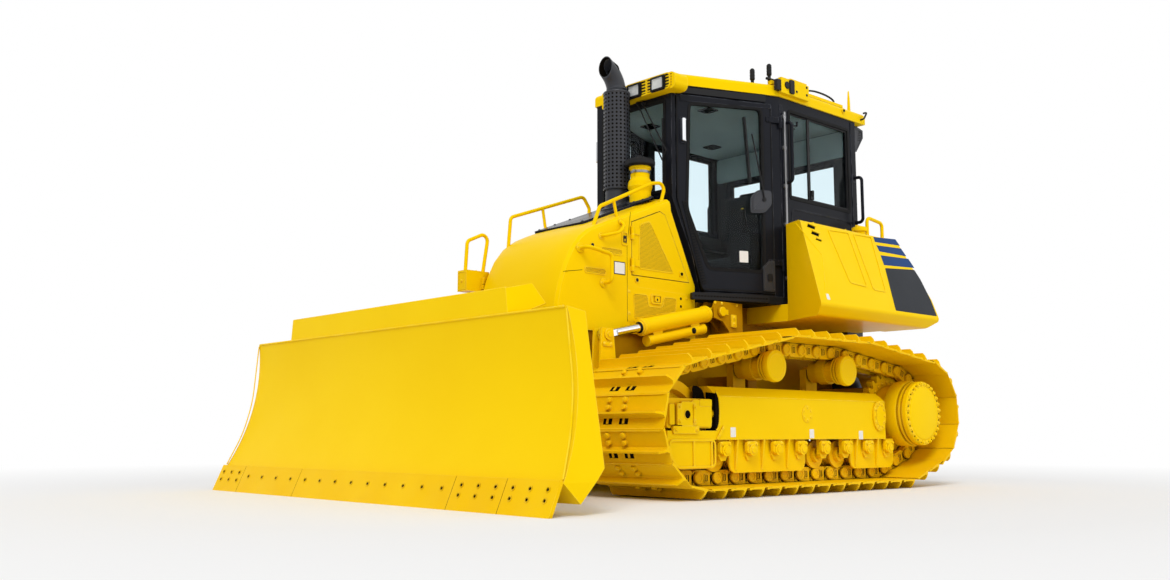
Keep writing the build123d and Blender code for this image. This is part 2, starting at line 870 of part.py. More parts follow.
def seat():
    y = 2050
    base = block(-180, 180, y - 150, y + 250, cab_floor_z, cab_floor_z + 300)
    cushion = block(-260, 260, y - 250, y + 280, cab_floor_z + 300, cab_floor_z + 430)
    back = prism_x([(y + 180, cab_floor_z + 430), (y + 330, cab_floor_z + 430),
                    (y + 430, cab_floor_z + 1080), (y + 330, cab_floor_z + 1080)], -240, 240)
    return base + cushion + back


def consoles():
    y = 2000
    left = block(310, 520, y - 300, y + 350, cab_floor_z, cab_floor_z + 560)
    right = block(-520, -310, y - 300, y + 350, cab_floor_z, cab_floor_z + 560)
    dash = block(-280, 280, cab_foot_y + 70, cab_foot_y + 220, cab_floor_z, cab_floor_z + 560)
    return solids_of(left, right, dash)


def roof_lamps():
    z = (housing_low_z + housing_high_z) / 2
    y = cab_front_y - housing_reach
    half = lamp_half - 3
    lamp = block(-half, half, y - lamp_out, y + 35, z - half, z + half)
    lamp = fillet(lamp.edges().filter_by(Axis.Y), 12)
    return solids_of(*[Pos(x, 0, 0) * lamp for x in lamp_xs])


def roof_box():
    # a holder on the roof's left edge behind the door
    z = cab_top_z + cab_roof_rise
    box = block(cab_half - 110, cab_half + 30, 1890, 2115, z, z + 78)
    arm = block(cab_half - 60, cab_half - 20, 1700, 1891, z, z + 34)
    rail_box = block(cab_half - 70, cab_half - 10, 2114, 2700, z, z + 26)
    return box + arm + rail_box


def roof_antennas():
    z = cab_top_z + cab_roof_rise
    steps = [(z, 0), (z, 34), (z + 18, 30), (z + 40, 14), (z + 130, 14), (z + 140, 21), (z + antenna_height - 12, 21),
             (z + antenna_height, 12), (z + antenna_height, 0)]
    return solids_of(*[turned_z(steps, x, y) for x, y in antennas])


def rear_box():
    y, z = cab_rear_y, cab_top_z - 2
    side = [(y, z - 245), (y + 110, z - 235), (y + roof_overhang + 90, z - 90), (y + roof_overhang + 90, z - 20),
            (y + roof_overhang - 5, z), (y, z)]
    return prism_x(side, -cab_half + 60, cab_half - 60)


def cab_handles():
    x, y = cab_half, cab_hinge_y + 60
    front = rail([(x, y, 2450), (x + 80, y, 2450), (x + 80, y, 2950), (x, y, 2950)], 35, 14)
    y = cab_rear_y - 40
    rear = rail([(x, y, 2250), (x + 80, y, 2250), (x + 80, y, 2650), (x, y, 2650)], 35, 14)
    return pair(solids_of(front, rear))


# ---- tanks and rear
def tank():
    section = [(tank_inner, tank_bottom_z), (tank_side_out - 60, tank_bottom_z), (tank_side_out, tank_edge_z),
               (tank_top_out, tank_top_z), (tank_inner, tank_top_z)]
    body = prism_y(section, tank_front_y, tank_rear_y)
    corners = [e for e in body.edges().filter_by(Axis.Y) if e.center().X > tank_inner + 1]
    body = fillet(corners, tank_corner)
    notch = prism_z([(tank_inner - 10, tank_front_y - 10), (tank_side_out + 10, tank_front_y - 10),
                     (tank_side_out + 10, tank_front_y), (tank_inner - 10, tank_front_y + tank_notch)],
                    tank_bottom_z - 10, tank_top_z + 10)
    y = tank_rear_y
    slant = prism_x([(y - tank_slant, tank_top_z + 1), (y, tank_slant_z), (y + 10, tank_slant_z),
                     (y + 10, tank_top_z + 1)], tank_inner - 10, tank_side_out + 10)
    lower = prism_x([(y - 120, tank_bottom_z - 1), (y + 1, tank_bottom_z + 60), (y + 1, tank_bottom_z - 1)],
                    tank_inner - 10, tank_side_out + 10)
    shelf_y = tank_front_y + tank_notch
    shelf = block(frame_half, tank_inner, shelf_y, frame_rear_y, tank_bottom_z, cab_floor_z - cab_sill)
    return body - notch - slant - lower + shelf


def tank_fittings():
    x = tank_top_out - 90
    cap = turned_z([(tank_top_z, 0), (tank_top_z, 50), (tank_top_z + 30, 50), (tank_top_z + 34, 62),
                    (tank_top_z + 70, 60), (tank_top_z + 76, 40), (tank_top_z + 76, 0)], x, 2620)
    loop = rail([(x, 2740, tank_top_z), (x, 2740, tank_top_z + 175), (x, 2970, tank_top_z + 150),
                 (x, 2970, tank_top_z)], 40, 15)
    return pair(solids_of(cap, loop))


grille_half = 560
grille_hinge = (grille_half + 5, grille_y + hinge_radius + 2)
grille_hinge_zs = (1600, 1840)


housing_foot_z = cab_floor_z - cab_sill
housing_top_z = tank_top_z - 60


def radiator_housing():
    y0, y1 = cab_rear_y + 60, grille_y
    outer = block(-tank_inner + 2, tank_inner - 2, y0, y1, housing_foot_z, housing_top_z)
    hole = block(-grille_half, grille_half, y0 + 60, y1 + 10, housing_foot_z + 60, housing_top_z - 60)
    low = block(-rear_half, rear_half, frame_rear_y, y1, rear_low_z, housing_foot_z + 1)
    cheek = block(frame_half, rear_half, y0, frame_rear_y + 1, rear_low_z, tank_bottom_z)
    shape = outer - hole + low + cheek + mirrored(cheek)
    x, y = grille_hinge
    for z in grille_hinge_zs:
        low = z - hinge_half - pin_gap
        web = block(x - 8, x + 8, y1, y, low - 35, low)
        shape = shape + hinge_pin(x, y, z, web)
    return shape


def rear_grille():
    y1 = grille_y
    shape = block(-grille_half + panel_gap, grille_half - panel_gap, y1 - 40, y1,
                  housing_foot_z + 60 + panel_gap, housing_top_z - 60 - panel_gap)
    x, y = grille_hinge
    for z in grille_hinge_zs:
        strap = block(x - 90, x, y1, y1 + 8, z - 25, z + 25)
        shape = shape + knuckle(x, y, z, strap)
    return shape


def fan():
    y = cab_rear_y + 180
    z = (housing_foot_z + housing_top_z) / 2
    hub = bar((0, y - 59.7, z), (0, y + 20, z), 70)
    blades = [Pos(0, y, z) * Rot(0, i * 60, 0) * Pos(0, 0, 135) * Rot(0, 0, 30) * Box(60, 6, 160) for i in range(6)]
    result = hub
    for blade in blades:
        result = result + blade
    return result


# ---- push frame and blade
def c_frame():
    half = arm_height / 2
    arm = block(arm_inner, arm_inner + arm_width, -600, trunnion_y - 10, trunnion_z - half, trunnion_z + half)
    eye = shaft_x(arm_inner, arm_inner + arm_width, trunnion_y, trunnion_z, trunnion_radius + 50)
    arm = arm + eye - shaft_x(0, 2000, trunnion_y, trunnion_z, trunnion_radius + pin_gap)
    nose = prism_z([(0, -565), (arm_inner + arm_width, -565), (arm_inner + arm_width, -620),
                    (90, -960), (0, -960)], trunnion_z - half, trunnion_z + half)
    plates = []
    for z in (yoke_z + yoke_radius + joint_gap, yoke_z - yoke_radius - joint_gap - 30):
        tongue = block(-90, 90, yoke_y, -800, z, z + 30) + bar((0, yoke_y, z), (0, yoke_y, z + 30), 90)
        plates.append(tongue)
    pin = bar((0, yoke_y, yoke_z - 120), (0, yoke_y, yoke_z + 120), 30)
    side = arm + nose + lift_lug() + angle_bracket()
    cut = block(-100, 100, yoke_y - 100, -930, yoke_z - yoke_radius - joint_gap, yoke_z + yoke_radius + joint_gap)
    body = side + mirrored(side) - cut
    return body + plates[0] + plates[1] + pin


def lift_lug():
    y, z = lift_pin
    low = trunnion_z + arm_height / 2
    ears = []
    near = lift_eye_half + ear_gap
    far = near + ear_thickness
    bridge = angle_z + angle_barrel_radius + 40
    for x0, x1 in ((lift_x - far, lift_x - near), (lift_x + near, lift_x + far)):
        outline = [(y - 85, bridge), (y + 85, bridge), (y + 50, z + 45), (y - 65, z + 45)]
        ears.append(prism_x(outline, x0, x1))
    foot = [(y - 85, bridge), (y + 85, bridge), (y + 80, bridge + 70), (y - 80, bridge + 70)]
    column = [(y - 130, low - 1), (y + 170, low - 1), (y + 85, bridge + 1), (y - 85, bridge + 1)]
    post = prism_x(column, lift_x + 15, lift_x + far)
    return ears[0] + ears[1] + prism_x(foot, lift_x - far, lift_x + far) + post


def angle_bracket():
    low = trunnion_z + arm_height / 2
    back = block(angle_x - 30, angle_x + 40, angle_base_y + 60, angle_base_y + 150, low - 1, angle_z + 75)
    plates = []
    for z in (angle_z + 45 + joint_gap, angle_z - 45 - joint_gap - 15):
        plates.append(block(angle_x - 30, angle_x + 40, angle_base_y - 30, angle_base_y + 61, z, z + 15))
    pin = bar((angle_x, angle_base_y, angle_z - 60), (angle_x, angle_base_y, angle_z + 60), 15 - pin_gap)
    return back + plates[0] + plates[1] + pin


def blade_yoke():
    hub = bar((0, yoke_y, yoke_z - yoke_radius), (0, yoke_y, yoke_z + yoke_radius), yoke_radius)
    neck = block(-60, 60, yoke_y - 130, yoke_y, yoke_z - 60, yoke_z + 60)
    disc = bar((0, yoke_y - 120, yoke_z), (0, yoke_y - 160, yoke_z), 150)
    spigot = bar((0, yoke_y - 160, yoke_z), (0, yoke_y - 215, yoke_z), 60)
    tower = prism_y([(-110, yoke_z), (110, yoke_z), (60, tilt_z + 70), (-60, tilt_z + 70)],
                    yoke_y - 160, yoke_y - 130)
    pin = bar((0, yoke_y - 130, tilt_z), (0, tilt_y + 30, tilt_z), 18 - pin_gap)
    bore = bar((0, yoke_y, 0), (0, yoke_y, 700), 30 + pin_gap)
    return hub + neck + disc + spigot + tower + pin - bore


def blade():
    front = [(-1443, blade_top_z), (-1432, 630), (-1600, edge_top_z)]
    arc = ThreePointArc(*[(0, y, z) for y, z in front])
    rear = Polyline((0, -1600, edge_top_z), (0, -1480, 60), (0, -1300, 240), (0, -1310, blade_top_z - 20),
                    (0, -1443, blade_top_z))
    face = make_face([arc] + list(rear.edges()))
    slab = extrude(face, amount=2 * blade_half_bottom, dir=(1, 0, 0))
    slab = Pos(-blade_half_bottom, 0, 0) * slab
    side = [(-blade_half_bottom, 0), (blade_half_bottom, 0), (blade_half_bottom, edge_top_z),
            (blade_half_top, blade_top_z + 10), (-blade_half_top, blade_top_z + 10), (-blade_half_bottom, edge_top_z)]
    slab = slab & prism_y(side, -2000, -1000)
    back = block(-1500, 1500, -1330, blade_back_y, 300, 420) + block(-1500, 1500, -1330, blade_back_y, 880, 1000)
    ribs = []
    for x in (angle_eye_x - rib_half, angle_eye_x + rib_half, 1200):
        ribs.append(block(x - 10, x + 10, -1330, blade_back_y + 20, 300, 1000))
    rib = ribs[0] + ribs[1] + ribs[2]
    x = -tilt_length
    lug = block(x - 120, x - 58, -1330, tilt_y + 45, tilt_z - 80, tilt_z + 80)
    for y0, y1 in ((tilt_y - 45, tilt_y - 28), (tilt_y + 28, tilt_y + 45)):
        lug = lug + block(x - 60, x + 50, y0, y1, tilt_z - 60, tilt_z + 60)
    centre = block(-200, 200, -1340, yoke_y - 166, yoke_z - 170, yoke_z + 170)
    hole = bar((0, yoke_y - 100, yoke_z), (0, yoke_y - 225, yoke_z), 60 + pin_gap)
    return slab + back + rib + mirrored(rib) + lug + centre - hole


def cutting_edge():
    section = [(-1700, 0), (-1675, 0), (-1598, edge_top_z + 6), (-1620, edge_top_z + 16)]
    ends = [-blade_half_bottom - edge_gap, *edge_joints, blade_half_bottom + edge_gap]
    half = edge_gap / 2
    plates = []
    for x0, x1 in zip(ends, ends[1:]):
        left, right = max(x0 + half, -blade_half_bottom), min(x1 - half, blade_half_bottom)
        plates.append(prism_x(section, left, right))
    return solids_of(*plates)


def spill_guard():
    # the plate above the blade, with a wing folded back at each end
    y, z = -1443, blade_top_z
    top = z + guard_height
    face = prism_y([(-guard_half, z), (guard_half, z), (guard_half - 19, top), (19 - guard_half, top)], y, y + 12)
    a, b = Vector(guard_half, y, z), Vector(guard_half - 19, y, top)
    d = Vector(guard_half + 164, y + 148, z + 56)
    c = Vector(guard_half + 96, y + 102, z + 173)
    normal = (d - a).cross(b - a).normalized()
    c = c - normal * (c - a).dot(normal)
    foot = Vector(guard_half + 60, y + 52, z)
    foot = foot - normal * (foot - a).dot(normal)
    wing = prism([tuple(p) for p in (a, foot, d, c, b)], tuple(normal * -1), 12)
    return face + wing + mirrored(wing)


# ---- cylinders
def lift_frame():
    # plane at the lift cylinder's rear pin whose x runs down the cylinder to its eye
    y0, z0 = lift_base
    y1, z1 = lift_pin
    line = Vector(0, y1 - y0, z1 - z0)
    return Plane(origin=(lift_x, y0, z0), x_dir=line.normalized(), z_dir=(1, 0, 0)), line.length


def lift_barrel():
    plane, length = lift_frame()
    barrel_end = 845
    eye = bar((0, 0, -35), (0, 0, 35), 42) + block(0, 120, -34, 34, -35, 35)
    tube = bar((102, 0, 0), (barrel_end, 0, 0), lift_barrel_radius)
    drop = lift_barrel_radius + lift_pipe_radius + 6
    pipe = bar((190, drop, 0), (790, drop, 0), lift_pipe_radius)
    for along in (230, 650):
        pipe = pipe + block(along, along + 100, lift_rod_radius + 10, drop, -25, 25)
    bore = bar((180, 0, 0), (barrel_end + 1, 0, 0), lift_rod_radius + pin_gap)
    return plane * (eye + tube + pipe - bar((0, 0, -80), (0, 0, 80), 25) - bore)


def lift_rod():
    plane, length = lift_frame()
    half = lift_eye_half
    eye = bar((length, 0, -half), (length, 0, half), 44)
    rod = bar((500, 0, 0), (length, 0, 0), lift_rod_radius)
    keep = block(0, length + 100, -100, 100, -half, half) + block(0, length - 110, -100, 100, -60, 60)
    return plane * ((eye + rod) & keep)


def angle_frame():
    toe = math.radians(angle_toe)
    line = Vector(math.sin(toe), -math.cos(toe), 0)
    return Plane(origin=(angle_x, angle_base_y, angle_z), x_dir=line, z_dir=(0, 0, 1))


def angle_barrel():
    plane = angle_frame()
    eye = bar((0, 0, -45), (0, 0, 45), 35)
    tube = bar((20, 0, 0), (980, 0, 0), angle_barrel_radius)
    bore = bar((200, 0, 0), (981, 0, 0), angle_rod_radius + pin_gap)
    return plane * (eye + tube - bar((0, 0, -50), (0, 0, 50), 15) - bore)


def angle_rod():
    plane = angle_frame()
    rod = bar((700, 0, 0), (angle_length, 0, 0), angle_rod_radius)
    ball = Pos(angle_length, 0, 0) * Sphere(36)
    return plane * (rod + ball)


def tilt_barrel():
    eye = bar((0, tilt_y - 25, tilt_z), (0, tilt_y + 25, tilt_z), 42)
    tube = bar((-30, tilt_y, tilt_z), (-400, tilt_y, tilt_z), tilt_barrel_radius)
    bore = bar((-120, tilt_y, tilt_z), (-401, tilt_y, tilt_z), tilt_rod_radius + pin_gap)
    pin = bar((0, tilt_y - 60, tilt_z), (0, tilt_y + 60, tilt_z), 18)
    return eye + tube - bore - pin


def tilt_rod():
    rod = bar((-300, tilt_y, tilt_z), (-tilt_length, tilt_y, tilt_z), tilt_rod_radius)
    eye = bar((-tilt_length, tilt_y - 22, tilt_z), (-tilt_length, tilt_y + 22, tilt_z), 38)
    return rod + eye


# ---- all pieces
centre_y = -(-1700 + frame_rear_y + 230) / 2


def pieces():
    parts = {
        "main_frame": main_frame(),
        "engine_block": engine_block(),
        "drawbar": drawbar(),
        "hood": hood(),
        "hood_top": hood_top(),
        "hood_rails": hood_rails(),
        "grab_handles": grab_handles(),
        "exhaust_stack": exhaust_stack(),
        "precleaner": precleaner(),
        "precleaner_cap": precleaner_cap(),
        "cab_frame": cab_frame(),
        "cab_glass": cab_glass(),
        "cab_roof": cab_roof(),
        "cab_floor": cab_floor(),
        "seat": seat(),
        "consoles": consoles(),
        "roof_lamps": roof_lamps(),
        "roof_box": roof_box(),
        "roof_antennas": roof_antennas(),
        "rear_box": rear_box(),
        "cab_handles": cab_handles(),
        "tank_fittings": tank_fittings(),
        "radiator_housing": radiator_housing(),
        "rear_grille": rear_grille(),
        "fan": fan(),
        "c_frame": c_frame(),
        "blade_yoke": blade_yoke(),
        "blade": blade(),
        "cutting_edge": cutting_edge(),
        "spill_guard": spill_guard(),
        "tilt_barrel": tilt_barrel(),
        "tilt_rod": tilt_rod(),
    }
    sided = {
        "track": track(),
        "track_frame": track_frame(),
        "rollers": rollers(),
        "idler": idler(),
        "sprocket": sprocket(),
        "tank": tank(),
        "engine_door": engine_door(),
        "cab_door": cab_door(),
        "door_glass": door_glass(),
        "lift_barrel": lift_barrel(),
        "lift_rod": lift_rod(),
        "angle_barrel": angle_barrel(),
        "angle_rod": angle_rod(),
    }
    for name, shape in sided.items():
        parts[name + "_left"] = shape
        parts[name + "_right"] = mirrored(shape)
    return parts


os.makedirs("parts", exist_ok=True)
for name, shape in pieces().items():
    export_step(Pos(0, centre_y, 0) * shape, f"parts/{name}.step")
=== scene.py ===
import math

import bmesh
import bpy
from mathutils import Matrix, Vector


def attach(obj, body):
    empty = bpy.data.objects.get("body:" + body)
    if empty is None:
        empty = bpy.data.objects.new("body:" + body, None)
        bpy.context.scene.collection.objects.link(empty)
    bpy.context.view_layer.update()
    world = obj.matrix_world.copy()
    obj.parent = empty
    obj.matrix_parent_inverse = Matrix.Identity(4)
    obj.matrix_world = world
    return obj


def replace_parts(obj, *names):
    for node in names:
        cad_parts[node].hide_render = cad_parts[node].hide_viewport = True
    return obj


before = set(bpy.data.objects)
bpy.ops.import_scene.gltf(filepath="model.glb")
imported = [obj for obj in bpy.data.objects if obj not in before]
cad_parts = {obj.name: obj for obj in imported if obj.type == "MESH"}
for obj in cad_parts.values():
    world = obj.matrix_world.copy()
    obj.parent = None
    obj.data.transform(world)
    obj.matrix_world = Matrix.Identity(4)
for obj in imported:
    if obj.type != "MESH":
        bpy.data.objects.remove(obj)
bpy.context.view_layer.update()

# Row frame: metres, -Y is forwards to the blade, +X is the machine's left, +Z up.
shiftY = -0.795  # lengths below are given from the track's front ground contact, then moved by this


# node tools
def newNode(tree, kind, inputs=(), **settings):
    # a node with its settings, and each input as a value or as the socket that feeds it
    node = tree.nodes.new(kind)
    for label, value in settings.items():
        setattr(node, label, value)
    for label, value in dict(inputs).items():
        if isinstance(value, bpy.types.NodeSocket):
            tree.links.new(value, node.inputs[label])
        else:
            node.inputs[label].default_value = value
    return node


def mapRange(tree, source, low, high, outLow=0.0, outHigh=1.0):
    ends = {"From Min": low, "From Max": high, "To Min": outLow, "To Max": outHigh}
    return newNode(tree, "ShaderNodeMapRange", {"Value": source, **ends}).outputs[0]


def mathNode(tree, operation, first, second=0.0):
    return newNode(tree, "ShaderNodeMath", {0: first, 1: second}, operation=operation).outputs[0]


def linkObject(name, data):
    item = bpy.data.objects.new(name, data)
    bpy.context.scene.collection.objects.link(item)
    return item


# camera, floor and light
cameraSettings = {
    "place": (6.1289, -6.1347, 0.4178),
    "yaw": -0.8238,  # from +Y, clockwise is positive
    "pitch": 0.1305,
    "lens": 33.77,
}
stageSettings = {
    "backdrop": 1.0,
    "floorColor": (0.86, 0.86, 0.86),
    "worldFill": 0.62,
    "keyPower": 1.5,
    "fillPower": 0.55,
    "fadeFrom": 4.0,  # metres from the middle where the floor starts to go over into the backdrop
    "fadeTo": 9.0,
    "floorHalf": 60,
}


def setCamera():
    s = cameraSettings
    data = bpy.data.cameras.new("mainCamera")
    data.lens = s["lens"]
    data.sensor_width = 36
    data.clip_end = 200
    camera = linkObject("mainCamera", data)
    flat = math.cos(s["pitch"])
    look = Vector((math.sin(s["yaw"]) * flat, math.cos(s["yaw"]) * flat, math.sin(s["pitch"])))
    camera.location = s["place"]
    camera.rotation_euler = look.to_track_quat("-Z", "Y").to_euler()
    bpy.context.scene.camera = camera


def seenDirectly(tree):
    # 1 for rays that show the background itself, straight on, in metal or through glass
    path = newNode(tree, "ShaderNodeLightPath").outputs
    first = mathNode(tree, "MAXIMUM", path["Is Camera Ray"], path["Is Glossy Ray"])
    return mathNode(tree, "MAXIMUM", first, path["Is Transmission Ray"])


def setWorld():
    world = bpy.data.worlds.new("studioWorld")
    bpy.context.scene.world = world
    world.use_nodes = True
    tree = world.node_tree
    tree.nodes.clear()
    fill, white = [newNode(tree, "ShaderNodeBackground", {"Color": (1, 1, 1, 1),
            "Strength": stageSettings[key]})
                   for key in ("worldFill", "backdrop")]
    mix = newNode(tree, "ShaderNodeMixShader", {0: seenDirectly(tree), 1: fill.outputs[0],
            2: white.outputs[0]})
    newNode(tree, "ShaderNodeOutputWorld", {0: mix.outputs[0]})


def setLamps():
    lamps = [
        # name, power, softness in degrees, direction that it shines in
        ("keyLight", stageSettings["keyPower"], 25, (-0.5, 0.62, -0.85)),
        ("fillLight", stageSettings["fillPower"], 60, (-0.95, -0.3, -0.25)),
    ]
    for name, power, spread, direction in lamps:
        data = bpy.data.lights.new(name, "SUN")
        data.energy = power
        data.angle = math.radians(spread)
        lamp = linkObject(name, data)
        lamp.rotation_euler = Vector(direction).to_track_quat("-Z", "Y").to_euler()


def makeFloor():
    # pale and matte under the machine, and the backdrop's white further out
    s = stageSettings
    mesh = bpy.data.meshes.new("studioFloor")
    r = s["floorHalf"]
    mesh.from_pydata([(-r, -r, 0), (r, -r, 0), (r, r, 0), (-r, r, 0)], [], [(0, 1, 2, 3)])
    floor = linkObject("studioFloor", mesh)
    material = bpy.data.materials.new("paleFloor")
    material.use_nodes = True
    tree = material.node_tree
    tree.nodes.clear()
    matte = newNode(tree, "ShaderNodeBsdfDiffuse", {"Color": (*s["floorColor"], 1)})
    white = newNode(tree, "ShaderNodeEmission")
    place = newNode(tree, "ShaderNodeNewGeometry")
    length = newNode(tree, "ShaderNodeVectorMath", {0: place.outputs["Position"]}, operation="LENGTH")
    fade = mapRange(tree, length.outputs["Value"], s["fadeFrom"], s["fadeTo"])
    both = newNode(tree, "ShaderNodeMath", {0: fade}, operation="MULTIPLY")
    tree.links.new(seenDirectly(tree), both.inputs[1])
    mix = newNode(tree, "ShaderNodeMixShader", {0: both.outputs[0], 1: matte.outputs[0], 2: white.outputs[0]})
    newNode(tree, "ShaderNodeOutputMaterial", {0: mix.outputs[0]})
    mesh.materials.append(material)


setCamera()
setWorld()
setLamps()
makeFloor()
bpy.context.scene.view_settings.view_transform = "Standard"
print("stage set")


# shared surface effects
def newGroup(name, inputs, outputs):
    # a node group with float inputs and float outputs, each (name, default)
    group = bpy.data.node_groups.new(name, "ShaderNodeTree")
    for label, default in inputs:
        socket = group.interface.new_socket(label, in_out="INPUT", socket_type="NodeSocketFloat")
        socket.default_value = default
    for label in outputs:
        group.interface.new_socket(label, in_out="OUTPUT", socket_type="NodeSocketFloat")
    start = group.nodes.new("NodeGroupInput")
    end = group.nodes.new("NodeGroupOutput")
    return group, start, end


def makeSurfaceGrain():
    # broad colour drift and fine surface height, from the piece's own coordinates
    group, start, end = newGroup("surfaceGrain", [("Drift Scale", 2.0), ("Grain Scale", 300.0)], ["Drift",
            "Grain"])
    where = newNode(group, "ShaderNodeTexCoord").outputs["Object"]
    for label, target, detail in (("Drift Scale", "Drift", 3), ("Grain Scale", "Grain", 2)):
        sockets = {"Detail": detail, "Vector": where, "Scale": start.outputs[label]}
        group.links.new(newNode(group, "ShaderNodeTexNoise", sockets).outputs[0], end.inputs[target])
    return group


def makeEdgeWearAndHighlight():
    # 1 on outer edges, broken up by noise, 0 on flats; it carries worn edges and a painted highlight along
    # edges
    group, start, end = newGroup("edgeWearAndHighlight", [("Radius", 0.004), ("Break Up", 12.0)], ["Edge"])
    bevel = newNode(group, "ShaderNodeBevel", {"Radius": start.outputs["Radius"]}, samples=4)
    flat = newNode(group, "ShaderNodeNewGeometry")
    dot = newNode(group, "ShaderNodeVectorMath", {0: bevel.outputs[0], 1: flat.outputs["Normal"]},
            operation="DOT_PRODUCT")
    mask = mapRange(group, dot.outputs["Value"], 0.995, 0.88)
    where = newNode(group, "ShaderNodeTexCoord").outputs["Object"]
    noise = newNode(group, "ShaderNodeTexNoise", {"Vector": where, "Scale": start.outputs["Break Up"]})
    broken = mapRange(group, noise.outputs[0], 0.35, 0.6)
    group.links.new(mathNode(group, "MULTIPLY", mask, broken), end.inputs["Edge"])
    return group


def makeDustFall():
    # a thin film of dust on faces that look up and low on the machine
    group, start, end = newGroup("dustFall", [("Amount", 0.1), ("Scale", 6.0)], ["Dust"])
    flat = newNode(group, "ShaderNodeNewGeometry").outputs
    up, low = [mapRange(group, newNode(group, "ShaderNodeSeparateXYZ", {0: flat[label]}).outputs["Z"], first,
            last)
               for label, first, last in (("Normal", 0.2, 1.0), ("Position", 0.9, 0.0))]
    where = newNode(group, "ShaderNodeTexCoord").outputs["Object"]
    noise = newNode(group, "ShaderNodeTexNoise", {"Detail": 4, "Vector": where,
            "Scale": start.outputs["Scale"]})
    patchy = mapRange(group, noise.outputs[0], 0.4, 0.75)
    film = mathNode(group, "MULTIPLY", mathNode(group, "MAXIMUM", up, low), patchy)
    group.links.new(mathNode(group, "MULTIPLY", film, start.outputs["Amount"]), end.inputs["Dust"])
    return group


def makeCreviceShade():
    # 1 deep in gaps and inner corners, 0 on open faces
    group, start, end = newGroup("creviceShade", [("Distance", 0.06)], ["Deep"])
    around = newNode(group, "ShaderNodeAmbientOcclusion", {"Distance": start.outputs["Distance"]}, samples=6)
    group.links.new(mapRange(group, around.outputs["AO"], 0.66, 0.14), end.inputs["Deep"])
    return group


surfaceGrain = makeSurfaceGrain()
edgeWearAndHighlight = makeEdgeWearAndHighlight()
creviceShade = makeCreviceShade()
dustFall = makeDustFall()


